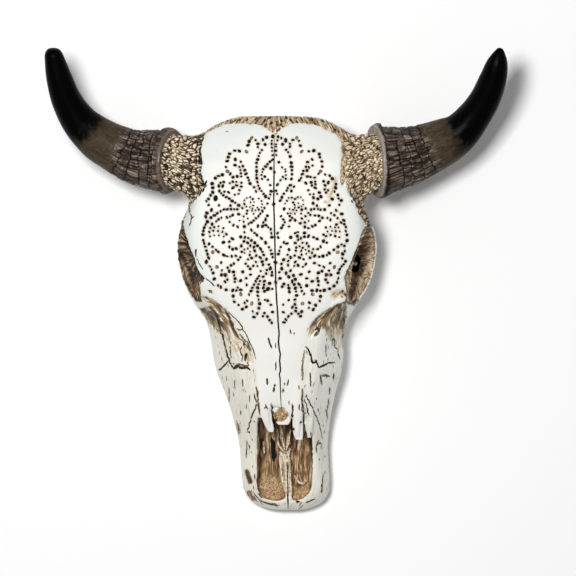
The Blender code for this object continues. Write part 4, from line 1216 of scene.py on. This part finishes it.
def bone_material(settings):
    """Make the painted bone: white paint, with brown wash in all that is tooled."""
    material, board = new_material("painted_bone")
    parts = tooling(board)
    x, y, z = parts["x"], parts["y"], parts["z"]
    fine = board.noise(board.vector(x / 1.3, y / 1.3, z / 1.3), 3.0, 0.6)
    cloudy = board.noise(board.vector(x / 14.0, y / 14.0, z / 14.0), 4.0, 0.55)
    bone = board.paint(board.rise(y, -75.0, 30.0), (0.82, 0.812, 0.775), tuple(settings.cool_white))
    bone = board.paint(board.named("lace"), bone, tuple(settings.warm_white))
    bone = board.paint(board.rise(cloudy, 0.35, 0.75) * 0.35, bone, shade(226, 224, 214))

    # Flanks of the muzzle: greyer paint, tan streaks and flecks that run down the face, and painted
    # light on the right flank
    flank = board.rise(board.named("flank") + parts["ragged"] * 1.5, -2.0, 3.0)
    across = board.named("flank_across")
    bone = board.paint(flank * 0.85, bone, shade(230, 228, 215))
    streak = board.noise(board.vector(across / 2.4, y / 30.0, 1.1), 3.0, 0.6)
    bone = board.paint(flank * board.rise(streak, 0.50, 0.70) * 0.45, bone, shade(190, 174, 142))
    # Painted light: the right flank, which faces away from the lamp, is painted paler, the more so up
    # the face
    painted_light = 0.2 + 0.65 * board.rise(y, -200.0, -120.0)
    bone = board.paint(flank * board.rise(x, 20.0, 60.0) * painted_light, bone, shade(250, 251, 244))
    fleck = board.cells(board.vector(across / 5.0, y / 13.0, 2.2), "F1")
    sparse = board.noise(board.vector(across / 9.0, y / 24.0, 7.7))
    fleck = (1.0 - board.rise(fleck, 0.13, 0.22)) * board.rise(sparse, 0.46, 0.54) * flank
    bone = board.paint(fleck * 0.95, bone, shade(104, 80, 54))
    hairline = board.noise(board.vector(across / 1.1, y / 34.0, 4.4), 2.0, 0.5)
    hairline = board.rise(hairline, 0.66, 0.72) * board.rise(sparse, 0.40, 0.6) * flank
    bone = board.paint(hairline * 0.7, bone, shade(120, 104, 80))

    # Stain that spread from the dots and the cuts
    stain = board.rise(board.named("stain") + (fine - 0.5) * 0.3, 0.3, 1.1)
    bone = board.paint(stain * 0.62, bone, shade(176, 150, 116))
    torn = board.noise(board.vector(x / 3.0, y / 3.0, z / 3.0 + 2.0), 3.0, 0.6)
    smear = board.named("smear") + (fine - 0.5) * 0.5 + (torn - 0.5) * 0.9
    brown = board.ramp(smear, (0.1, (206, 180, 140)), (0.5, (160, 124, 82)),
                       (0.9, (84, 58, 34)), (1.2, (48, 34, 22)))
    bone = board.paint(board.rise(smear, 0.12, 0.6) * board.named("front"), bone, brown)

    # Brown wash on the tooling, with painted shade in the crease round each socket and painted light on
    # the right socket
    patchy = board.noise(board.vector(x / 11.0, y / 11.0, z / 11.0 + 5.0), 2.0)
    right = board.rise(x, 20.0, 60.0)
    middle = 1.0 - board.named("core_share")
    # Paler strands, less the darker strands and the painted shade in the creases
    glow = board.named("glow")
    wash = parts["ridge"] + (fine - 0.5) * 0.2 + (patchy - 0.5) * 0.36 + middle * 0.28 + glow
    wash = wash + ((wash - 0.42) * 0.3 - 0.05) * (1.0 - right) * (1.0 - middle)
    edge = 1.0 - board.rise(board.named("tooled"), 1.0, 11.0)
    pits = board.rise(board.noise(board.vector(x / 3.6, y / 2.8, z / 3.6 + 9.0)), 0.56, 0.63)
    wash = wash - pits * (1.0 - 0.6 * middle) * (0.12 + 0.55 * edge) * (1.0 - 0.6 * right)
    tooled = board.ramp(wash, (0.0, (22, 16, 11)), (0.1, (62, 46, 32)),
                        (0.25, (124, 97, 68)), (0.44, (176, 150, 115)),
                        (0.64, (216, 197, 164)), (0.88, (242, 234, 214)))
    bone = board.paint(parts["tooled"], bone, tooled)
    # Painted shade: the socket's wash is darker in the crease along its edge, where shade falls
    crease_shade = 1.0 - board.rise(board.named("socket"), 0.5, 4.0)
    rays = parts["rays"] + (fine - 0.5) * 0.2 + (patchy - 0.5) * 0.4 - crease_shade * 0.16
    # Painted light: the right socket, which faces away from the lamp, is painted paler
    rays = rays + right * 0.26 + glow
    socket = board.ramp(rays, (0.0, (28, 20, 14)), (0.1, (60, 45, 32)),
                        (0.25, (98, 76, 55)), (0.45, (136, 112, 84)),
                        (0.65, (176, 152, 122)), (0.9, (220, 202, 174)))
    bone = board.paint(parts["socket"], bone, socket)
    streaks = parts["streaks"] + (fine - 0.5) * 0.16 + (patchy - 0.5) * 0.3 + glow
    streaks = streaks + (0.4 + 0.15 * right) * (1.0 - board.rise(y, -66.0, -42.0))
    hollow = board.ramp(streaks, (0.0, (40, 28, 18)), (0.1, (82, 62, 42)),
                        (0.26, (124, 99, 70)), (0.42, (162, 137, 103)),
                        (0.6, (212, 196, 168)), (0.8, (238, 232, 216)))
    bone = board.paint(parts["hollow"], bone, hollow)
    stripes = parts["stripes"] + (fine - 0.5) * 0.16 + (patchy - 0.5) * 0.3 + 0.05 + glow
    nose = board.ramp(stripes, (0.0, (32, 20, 12)), (0.1, (66, 45, 28)),
                      (0.25, (108, 80, 52)), (0.42, (146, 114, 78)),
                      (0.62, (184, 152, 112)), (0.9, (224, 202, 166)))
    bar = board.rise(board.named("bar") + parts["ragged"] * 0.5, -0.6, 0.8)
    pale = board.ramp(stripes, (0.0, (104, 80, 56)), (0.2, (184, 160, 126)),
                      (0.4, (228, 216, 194)), (0.9, (242, 236, 222)))
    nose = board.paint(bar, nose, pale)
    bone = board.paint(parts["nose"], bone, nose)

    tooling_share = board.high(board.high(parts["tooled"], parts["socket"]),
                               board.high(parts["hollow"], parts["nose"]))
    roughness = 0.5 + 0.16 * tooling_share + (fine - 0.5) * 0.15
    height = (parts["tooled"] * parts["ridge"] + parts["socket"] * parts["rays"]
              + parts["hollow"] * parts["streaks"] + parts["nose"] * parts["stripes"] + fine * 0.12)
    finish_material(board, bone, roughness, board.bump(height, 0.45, 0.8), 0.35)
    return material


def finish_material(board, colour, roughness, bump, specular, coat=0.0):
    """Join colour, roughness and bump to the shader and the output."""
    sockets = {"Base Color": colour, "Roughness": roughness, "Normal": bump,
               "Specular IOR Level": specular, "Coat Weight": coat, "Coat Roughness": 0.25}
    shader = board.term("ShaderNodeBsdfPrincipled", None, sockets)
    board.node("ShaderNodeOutputMaterial", None, {"Surface": shader})


def blotched_material(name, *stops, grains=420.0, noise=(3.0, 0.6), rough=0.55, relief=(0.3, 0.4),
                      specular=0.3):
    """Make a rubbed paint that goes through a few colours in blotches."""
    material, board = new_material(name)
    place = board.term("ShaderNodeTexCoord", None, None, "Object")
    spread = board.term("ShaderNodeVectorMath", {"operation": "SCALE"}, {0: place, "Scale": grains})
    blotch = board.noise(spread, *noise)
    bump = board.bump(blotch, *relief)
    finish_material(board, board.ramp(blotch, *stops), rough + blotch * 0.1, bump, specular)
    return material


class SKULL_OT_bone(bpy.types.Operator):
    """Carve the skull: a close-meshed copy of the solid, tooled, drilled, cut and painted"""

    bl_idname = "skull.bone"
    bl_label = "Carved skull"

    def execute(self, context):
        settings = context.scene.skull_bone
        chance = random.Random(11)
        skull = copy_of("skull", "carved_skull")
        add_and_apply(skull, "REMESH", mode="VOXEL", voxel_size=settings.mesh_size)
        add_and_apply(skull, "SMOOTH", factor=0.5, iterations=6)
        self.flatten_back(skull)
        for rows in NASAL_BOARDS:
            combine(skull, self.nasal_board(rows), "UNION")
        lay_out(skull.data, places_of(skull.data))
        self.refine(skull)
        self.raise_nose(skull)
        rest = places_of(skull.data)
        lay_out(skull.data, rest)
        add_and_apply(skull, "NODES", node_group=relief_nodes())
        moved = places_of(skull.data)

        paints = (
            bone_material(settings),
            blotched_material("dark_pit", (0.35, (5, 4, 3)), (0.6, (14, 11, 9)), (0.8, (46, 35, 25)),
                              grains=260.0, noise=(2.0, 0.5), rough=0.7, relief=(0.2, 0.3),
                              specular=0.2),
            blotched_material("pale_ridge", (0.36, (150, 120, 86)), (0.5, (226, 212, 186)),
                              (0.7, (242, 236, 222))),
            blotched_material("rubbed_brown", (0.34, (66, 50, 33)), (0.5, (118, 94, 66)),
                              (0.66, (184, 162, 130))),
            blotched_material("brown_cut", (0.34, (16, 11, 8)), (0.5, (44, 31, 20)),
                              (0.66, (104, 80, 54))),
            blotched_material("grey_glint", (0.36, (190, 194, 196)), (0.5, (254, 255, 255))),
        )
        self.give_paints(skull, paints, 0)
        find = surface_finder(skull)
        dots, rings = lace_dots(chance)
        narrow = [(line[1] * 0.72, line[2]) for line in SMEARS if line[1] <= WIDE_SMEAR]
        dashes = [(chance.uniform(0.8, 1.25), slanted(x, y, 1.7, 1.6)) for x, y in POLL_DASHES]
        shapes = (
            (rods("smears", narrow, find, chance, 0.4, 0.5), "DIFFERENCE", RUBBED_BROWN),
            (drill_cutter("rings", rings, find, settings, chance, 0.3), "DIFFERENCE", RUBBED_BROWN),
            (drill_cutter("drills", dots, find, settings, chance), "DIFFERENCE", DARK_PIT),
            (rods("core_cuts", CORE_CUTS, find, chance, 0.2), "DIFFERENCE", DARK_PIT),
            (rods("poll_dashes", dashes, find, chance, 0.3), "DIFFERENCE", BROWN_CUT),
            *((rods("slot", (slot,), find, chance, 0.15), "DIFFERENCE", DARK_PIT) for slot in SLOTS),
            (rods("ridges", NOSE_RIDGES, find, chance, 0.25), "UNION", PALE_RIDGE),
            (rods("glint", (GLINT,), find, chance, 0.0, -0.85), "UNION", GREY_GLINT),
            (rods("suture", (SUTURE,), find, chance, 0.12), "DIFFERENCE", DARK_PIT),
            (rods("slit", (PREMAXILLA_SLIT,), find, chance, 0.1), "DIFFERENCE", DARK_PIT),
            (rods("cracks", CRACKS, find, chance, 0.5, 0.0, 1.5), "DIFFERENCE", BROWN_CUT),
            (rods("crack_branches", CRACK_BRANCHES, find, chance, 0.5, 0.0, 1.5), "DIFFERENCE",
             BROWN_CUT),
            (rods("gouges", GOUGES, find, chance, 0.25, 0.0, 1.3), "DIFFERENCE", BROWN_CUT),
        )
        for shape, operation, paint in shapes:
            self.give_paints(shape, paints, paint)
            combine(skull, shape, operation)
        self.settle(skull, rest, moved, dots)
        self.thin_underside(skull)
        only(skull)
        bpy.ops.object.shade_smooth_by_angle(angle=math.radians(48.0))
        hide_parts("skull")
        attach(skull, "root")
        return {"FINISHED"}

    @staticmethod
    def give_paints(item, paints, used):
        """Give an object all the paints, and one of them to its faces."""
        item.data.materials.clear()
        for paint in paints:
            item.data.materials.append(paint)
        for face in item.data.polygons:
            face.material_index = used

    @staticmethod
    def nasal_board(rows):
        """Make one flat board of the nasal bones with a rounded edge and a blunt end."""
        sides, steps = 28, 4
        rows = spline_through(rows, steps)
        angle = np.linspace(0.0, 2 * math.pi, sides + 1)
        flat = 0.55
        across = np.sign(np.cos(angle)) * np.abs(np.cos(angle)) ** flat
        height = np.sign(np.sin(angle)) * np.abs(np.sin(angle)) ** flat * BOARD_THICKNESS / 2
        rings = []
        for share, row in [(0.0, rows[0]), (0.5, rows[0])] + [(1.0, row) for row in rows] + [
                (0.6, rows[-1]), (0.0, rows[-1])]:
            x, y = on_drawing(row[:2])
            half = row[2] * DRAWING_UNIT * share
            reach = -1.2 * (share < 1.0) * (row is rows[-1]) * (2 - share)
            rings.append(np.stack((x + across * half, np.full(sides + 1, y + reach),
                                   row[3] - BOARD_THICKNESS / 2 + height * share), axis=1))
        board, _row, _side = wrapped("nasal_board", rings)
        return merge_doubles(board, 1e-5)

    @staticmethod
    def raise_nose(skull):
        """Raise the floor of the nose to its striated middle, its pale bar and its lumpy ends."""
        places = places_of(skull.data)
        x, y, z = places.T
        low = (z < 60.0) & (inside(np.array(NOSE_OUTLINE_MM, dtype=float), x, y) > 0.5)
        low &= directions_of(skull.data)[:, 2] > -0.2
        for outline, height, soft in NOSE_RAISED:
            share = rise(-soft, soft, inside(on_drawing(outline), x, y))
            places[:, 2] = np.where(low & (z < height), z + (height - z) * share, places[:, 2])
            z = places[:, 2].copy()
        move_to(skull.data, places)

    @staticmethod
    def flatten_back(skull):
        """Press the back flat again."""
        places = places_of(skull.data)
        places[:, 2] = np.where(places[:, 2] < BACK_ROUNDING, 0.0, places[:, 2])
        move_to(skull.data, places)

    @staticmethod
    def refine(skull):
        """Divide the faces of the tooled regions once more."""
        mesh = skull.data
        regions = [kept_numbers(mesh, name) for name in ("tooled", "socket", "hollow", "nose")]
        wanted = np.maximum.reduce(regions) > -REFINED_MARGIN
        wanted |= kept_numbers(mesh, "smear") > 0.02
        wanted &= directions_of(mesh)[:, 2] > REFINED_SLOPE
        edit_faces(skull, lambda face: all(wanted[vertex.index] for vertex in face.verts),
                   bpy.ops.mesh.subdivide, number_cuts=1, smoothness=0.0)

    @staticmethod
    def thin_underside(skull):
        """Merge the small faces of plain bone that look away from the front."""
        edit_faces(skull, lambda face: face.material_index == 0 and face.normal.z < UNDERSIDE_SLOPE,
                   bpy.ops.mesh.decimate, ratio=UNDERSIDE_SHARE)

    @staticmethod
    def settle(skull, rest, moved, dots):
        """Store the regions again on the cut mesh, and how near each vertex is to a cut."""
        tree = KDTree(len(moved))
        for index, place in enumerate(moved):
            tree.insert(place, index)
        tree.balance()
        shift = rest - moved
        now = places_of(skull.data)
        back = np.empty_like(now)
        for index, place in enumerate(now):
            found = tree.find_n(place, 3)
            weights = np.array([1.0 / (distance + 0.05) for _at, _index, distance in found])
            nearest = np.array([shift[row] for _at, row, _distance in found])
            back[index] = place + (nearest * weights[:, None]).sum(axis=0) / weights.sum()
        lay_out(skull.data, back)
        centres = on_drawing([dot[:2] for dot in dots])
        radii = np.array([dot[2] * DRAWING_UNIT for dot in dots])
        near = KDTree(len(centres))
        for index, (x, y) in enumerate(centres):
            near.insert((x, y, 0.0), index)
        near.balance()
        stain = np.zeros(len(now))
        for index, (x, y, _z) in enumerate(now):
            _at, row, distance = near.find((x, y, 0.0))
            stain[index] = 1.0 - max(distance - radii[row], 0.0) / 1.8
        halos = [(0.9, width * 1.4, corners) for width, corners in (*CRACKS, *CRACK_BRANCHES)]
        halos += [(0.8, width * 1.5, corners) for _strength, width, corners in SMEARS]
        halos += [(0.8, width * 1.6, corners) for width, corners in GOUGES]
        halos.append((0.6, 1.1, SUTURE[1]))
        beside = line_distance(halos, now[:, 0], now[:, 1])
        keep(skull.data, "stain", np.clip(np.maximum(stain, beside), 0.0, 1.0))


# Horn routes from the collar out, in millimetres: place and radius
HORN_ROUTES = {
    "left_horn": (
        (-110.5, 128.3, 76.5, 33.0), (-119.5, 129.0, 72.2, 34.6), (-130.0, 129.9, 68.6, 34.2),
        (-153.7, 133.9, 65.0, 30.5),
        (-175.7, 143.4, 65.0, 26.2), (-193.4, 153.9, 68.0, 24.0), (-211.4, 170.6, 74.0, 20.2),
        (-225.2, 193.0, 82.0, 17.0), (-233.6, 218.2, 91.0, 14.3), (-238.4, 238.6, 98.6, 10.9),
        (-239.4, 244.6, 100.6, 9.2), (-239.6, 247.9, 101.8, 6.5), (-239.6, 249.6, 102.3, 3.2),
    ),
    "right_horn": (
        (106.2, 128.4, 71.6, 38.9), (114.0, 129.0, 69.8, 38.9), (122.0, 130.0, 68.8, 37.6),
        (144.3, 134.7, 65.0, 33.2),
        (165.6, 142.5, 64.0, 28.9), (185.9, 151.5, 66.0, 25.3), (200.0, 160.8, 69.0, 21.8),
        (213.6, 176.5, 75.0, 18.9), (225.3, 194.9, 83.0, 17.0), (233.6, 215.8, 92.0, 15.2),
        (238.2, 234.0, 100.0, 11.6), (240.6, 246.0, 105.0, 5.2), (241.4, 249.6, 106.5, 1.6),
    ),
}
HORN_SIDES = 120
HORN_RINGS = 190
COLLAR_LIP = 13.0
COLLAR_HEIGHT = 2.6
COLLAR_ROUNDING = 1.8


def spline_through(rows, steps):
    """Round a chain of rows with a Catmull-Rom curve."""
    rows = np.asarray(rows, dtype=float)
    padded = np.vstack((2 * rows[0] - rows[1], rows, 2 * rows[-1] - rows[-2]))
    points = []
    for before, start, end, after in zip(padded, padded[1:], padded[2:], padded[3:]):
        for step in range(steps):
            share = step / steps
            points.append(0.5 * (2 * start + (end - before) * share
                                 + (2 * before - 5 * start + 4 * end - after) * share ** 2
                                 + (3 * start - before - 3 * end + after) * share ** 3))
    points.append(rows[-1])
    return np.array(points)


def horn_relief(board):
    """Give the rings, blocks and grain of a horn, the same for shape and paint."""
    along, first, second = (board.named(name) for name in ("along", "round_a", "round_b"))
    sway = board.noise(board.vector(along / 16.0, first / 12.0, second / 12.0), 3.0) - 0.5
    shifted = along + sway * 11.0 + 2.0
    rings = board.maths("PINGPONG", shifted, 6.1) / 6.1
    ring = board.rise(rings, 0.0, 0.2)
    step = board.maths("FLOOR", shifted / 12.2)
    block = board.cells(board.vector(step * 3.7, first / 5.8 + sway, second / 5.8))
    block = board.rise(block, 0.0, 0.16)
    half = board.maths("FLOOR", shifted / 4.1)
    small = board.cells(board.vector(half * 2.3, first / 3.0 + sway, second / 3.0))
    patch = board.noise(board.vector(along / 12.0, first / 9.0, second / 9.0 + 7.0))
    patch = board.rise(patch, 0.45, 0.6)
    block = block * (1.0 - patch * (1.0 - board.rise(small, 0.0, 0.14)))
    grain = board.noise(board.vector(along / 16.0, first / 1.1, second / 1.1), 3.0, 0.65)
    rough = 1.0 - board.rise(along + sway * 34.0, 56.0, 72.0)
    grained = 1.0 - board.rise(along + sway * 34.0, 80.0, 104.0)
    past_lip = board.rise(along, 9.0, 15.0)
    return {"along": along, "first": first, "second": second, "sway": sway, "ring": ring,
            "block": block, "grain": grain, "rough": rough, "grained": grained,
            "past_lip": past_lip}


def horn_relief_nodes(depth):
    """Make the relief of a horn as a modifier's nodes."""
    tree, board = new_relief("horn_relief")
    parts = horn_relief(board)
    grooves = (1.0 - parts["ring"]) * 0.9 + (1.0 - parts["block"]) * 0.8
    cut = grooves + 0.5 * (1.0 - parts["grain"])
    lowered = parts["rough"] * (0.35 + 0.65 * parts["past_lip"]) * cut
    lowered = lowered + 0.3 * board.noise(board.vector(parts["along"] / 20.0, parts["first"] / 9.0,
                                                       parts["second"] / 9.0))
    finish_relief(board, lowered * (-depth))
    return tree


def horn_material(settings):
    """Make the horn: a brown crocodile base, an olive middle and a black tip."""
    material, board = new_material("dark_horn")
    parts = horn_relief(board)
    fine = board.noise(board.vector(parts["along"] / 2.0, parts["first"] / 1.2,
                                    parts["second"] / 1.2), 3.0, 0.6)
    base, middle, tip = (tuple(value) for value in (settings.base_brown, settings.middle_olive,
                                                    settings.tip_black))
    where = parts["along"] + parts["sway"] * 26.0
    horn = board.paint(board.rise(where, 40.0, 80.0), base, middle)
    patchy = board.noise(board.vector(parts["along"] / 9.0, parts["first"] / 7.0,
                                      parts["second"] / 7.0 + 11.0), 2.0)
    # Painted highlights: pale streaks along the grain of the rough base, in patches
    horn = board.paint(board.rise(parts["grain"], 0.48, 0.58) * board.rise(patchy, 0.40, 0.58) * 0.75
                       * parts["rough"], horn, shade(170, 153, 137))
    horn = board.paint((1.0 - board.rise(parts["grain"], 0.36, 0.48)) * 0.75 * parts["grained"], horn,
                       shade(26, 20, 15))
    horn = board.paint((1.0 - board.rise(patchy, 0.36, 0.5)) * 0.5 * parts["grained"], horn,
                       shade(44, 34, 27))
    horn = board.paint((1.0 - parts["block"] * parts["ring"]) * parts["rough"] * 0.95, horn,
                       shade(14, 10, 7))
    horn = board.paint(board.rise(fine, 0.45, 0.8) * 0.25 * (1.0 - board.rise(where, 90.0, 120.0)),
                       horn, shade(112, 98, 78))
    mottle = board.noise(board.vector(parts["along"] / 10.0, parts["first"] / 9.0,
                                      parts["second"] / 9.0 + 4.0), 2.0, 0.5)
    right = board.named("right")
    horn = board.paint(board.rise(where + (mottle - 0.5) * 30.0 + right * 8.0, 88.0, 114.0), horn, tip)
    along = parts["along"] + parts["sway"] * 4.0
    ribs = board.rise(along, 3.0, 4.5) * (1.0 - board.rise(along, 10.0, 13.0)) * right
    gaps = board.noise(board.vector(along / 9.0, parts["first"] / 1.5, parts["second"] / 1.5 + 3.0))
    horn = board.paint(ribs * (1.0 - 0.7 * board.rise(gaps, 0.52, 0.6)) * 0.85, horn, shade(20, 16, 13))
    lip = 1.0 - board.rise(along, 1.6, 3.4)
    horn = board.paint(lip * 0.75, horn, board.paint(right, shade(122, 105, 93), shade(172, 160, 150)))
    roughness = 0.5 - 0.17 * board.rise(where, 50.0, 110.0) + (fine - 0.5) * 0.2
    height = parts["rough"] * (parts["ring"] + parts["block"] + parts["grain"]) + fine * 0.2
    shine = 0.25 * (1.0 - board.rise(where, 40.0, 90.0))
    finish_material(board, horn, roughness, board.bump(height, 0.7, 0.8), 0.03, shine)
    return material


class SKULL_OT_horns(bpy.types.Operator):
    """Wrap a grid round each horn's route, with its collar, rings, cracks and blunt or sharp tip"""

    bl_idname = "skull.horns"
    bl_label = "Horns"

    def execute(self, context):
        settings = context.scene.skull_horns
        paint = horn_material(settings)
        relief = horn_relief_nodes(settings.crack_depth)
        for node, rows in HORN_ROUTES.items():
            horn = self.wrap("carved_" + node, rows)
            add_and_apply(horn, "NODES", node_group=relief)
            horn.data.materials.append(paint)
            only(horn)
            bpy.ops.object.shade_smooth_by_angle(angle=math.radians(50.0))
            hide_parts(node)
            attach(horn, "root")
        return {"FINISHED"}

    @staticmethod
    def wrap(name, rows):
        """Wrap a grid round a route, and close it along its seam and at both ends."""
        fine = spline_through(rows, 24)
        gaps = np.linalg.norm(np.diff(fine[:, :3], axis=0), axis=1)
        lengths = np.concatenate(((0.0,), np.cumsum(gaps)))
        total = lengths[-1]
        cap = 4
        steps = np.clip((np.arange(HORN_RINGS + 1) - cap) / (HORN_RINGS - cap), 0.0, 1.0)
        distance = total * steps ** 1.22
        centre = np.stack([np.interp(distance, lengths, fine[:, axis]) for axis in range(3)], axis=1)
        radius = np.interp(distance, lengths, fine[:, 3])
        lip = 1 - rise(COLLAR_LIP * 0.7, COLLAR_LIP * 1.25, distance)
        rounding = 1 - rise(0.0, COLLAR_LIP * 0.35, distance)
        radius = (radius + lip * COLLAR_HEIGHT - rounding * COLLAR_ROUNDING) * 0.992
        for index in range(cap):
            radius[index] = radius[cap] * index / cap
        radius[-1] = 0.0
        tangent = np.gradient(centre[cap:], axis=0)
        tangent = np.vstack([tangent[:1]] * cap + [tangent])
        tangent /= np.linalg.norm(tangent, axis=1)[:, None]
        guide = np.array((0.0, 0.0, 1.0))
        firsts = []
        for direction in tangent:
            guide = guide - direction * guide.dot(direction)
            guide = guide / np.linalg.norm(guide)
            firsts.append(guide)
        firsts = np.array(firsts)
        seconds = np.cross(tangent, firsts)
        turn = np.linspace(0.0, 2 * math.pi, HORN_SIDES + 1)
        cosine, sine = np.cos(turn)[None, :, None], np.sin(turn)[None, :, None]
        round_way = firsts[:, None] * cosine + seconds[:, None] * sine
        horn, row, side = wrapped(name, centre[:, None] + round_way * radius[:, None, None])
        keep(horn.data, "along", distance[row])
        keep(horn.data, "round_a", np.cos(turn[side]) * 30.0)
        keep(horn.data, "round_b", np.sin(turn[side]) * 30.0)
        keep(horn.data, "right", np.full(len(row), float(rows[0][0] > 0)))
        return merge_doubles(horn, 1e-5)


# The stage in metres and watts: floor, key light and camera
FLOOR_SIZE = 12.0
FLOOR_GAP = 0.0002
SKY_STRENGTH = 0.27
KEY_PLACE = (-0.51, 0.46, 3.0)
KEY_SIZE = 0.62
KEY_POWER = 77.0
VIEW_MIDDLE = (288.0, 288.0)
FOCUS_HEIGHT = 0.06
CAMERA_DISTANCE = 6.0
# Width of the camera's sensor in millimetres
SENSOR_WIDTH = 36.0


class SKULL_OT_stage(bpy.types.Operator):
    """Lay the plain floor, set the soft lights and the camera over the face"""

    bl_idname = "skull.stage"
    bl_label = "Stage"

    def execute(self, context):
        settings = context.scene.skull_stage
        bpy.ops.object.select_all(action="DESELECT")
        bpy.ops.mesh.primitive_plane_add(size=FLOOR_SIZE, location=(0.0, 0.0, -FLOOR_GAP))
        floor = bpy.context.object
        floor.name = "floor"
        floor.data.materials.append(self.floor_material(settings))
        world = bpy.data.worlds.new("studio")
        context.scene.world = world
        world.use_nodes = True
        sky = world.node_tree.nodes["Background"]
        sky.inputs["Color"].default_value = (1.0, 1.0, 1.0, 1.0)
        sky.inputs["Strength"].default_value = SKY_STRENGTH
        self.lamp("key", KEY_PLACE, KEY_SIZE, KEY_POWER)
        middle = on_drawing(VIEW_MIDDLE) * MM
        bpy.ops.object.camera_add(location=(middle[0], middle[1], FOCUS_HEIGHT + CAMERA_DISTANCE),
                                  rotation=(0.0, 0.0, 0.0))
        camera = bpy.context.object
        camera.name = "front_camera"
        camera.data.sensor_width = SENSOR_WIDTH
        camera.data.lens = SENSOR_WIDTH * CAMERA_DISTANCE / settings.view_width
        camera.data.clip_end = 50.0
        context.scene.camera = camera
        context.scene.view_settings.view_transform = "Standard"
        return {"FINISHED"}

    @staticmethod
    def floor_material(settings):
        """Make the plain pale floor."""
        material, board = new_material("pale_floor")
        place = board.term("ShaderNodeTexCoord", None, None, "Object")
        cloud = board.noise(place, 2.0)
        colour = board.paint(cloud * 0.1, tuple(settings.floor_white), shade(245, 246, 246))
        bump = board.term("ShaderNodeBump", None, {"Strength": 0.02, "Height": cloud})
        finish_material(board, colour, 0.9 + cloud * 0.05, bump, 0.1)
        return material

    @staticmethod
    def lamp(name, place, size, power):
        """Hang a square soft light that faces the skull."""
        bpy.ops.object.light_add(type="AREA", location=place)
        light = bpy.context.object
        light.name = name
        light.data.shape = "SQUARE"
        light.data.size = size
        light.data.energy = power
        towards = Vector((0.0, 0.0, 0.05)) - Vector(place)
        light.rotation_euler = towards.to_track_quat("-Z", "Y").to_euler()


class SKULL_PT_panel(bpy.types.Panel):
    """Lists the pieces of the carved skull"""

    bl_label = "Carved cow skull"
    bl_idname = "SKULL_PT_panel"
    bl_space_type = "VIEW_3D"
    bl_region_type = "UI"
    bl_category = "Skull"

    def draw(self, context):
        for group, operator in (("skull_bone", SKULL_OT_bone), ("skull_horns", SKULL_OT_horns),
                                ("skull_stage", SKULL_OT_stage)):
            box = self.layout.box()
            box.operator(operator.bl_idname)
            settings = getattr(context.scene, group)
            for name in settings.__annotations__:
                box.prop(settings, name)


CLASSES = (SkullSettings, HornSettings, StageSettings, SKULL_OT_bone, SKULL_OT_horns, SKULL_OT_stage,
           SKULL_PT_panel)
GROUPS = (("skull_bone", SkullSettings), ("skull_horns", HornSettings), ("skull_stage", StageSettings))


def register():
    for item in CLASSES:
        bpy.utils.register_class(item)
    for name, group in GROUPS:
        setattr(bpy.types.Scene, name, bpy.props.PointerProperty(type=group))


def unregister():
    for name, _group in GROUPS:
        delattr(bpy.types.Scene, name)
    for item in reversed(CLASSES):
        bpy.utils.unregister_class(item)


def main():
    register()
    bpy.ops.skull.bone()
    bpy.ops.skull.horns()
    bpy.ops.skull.stage()


if __name__ == "__main__":
    main()
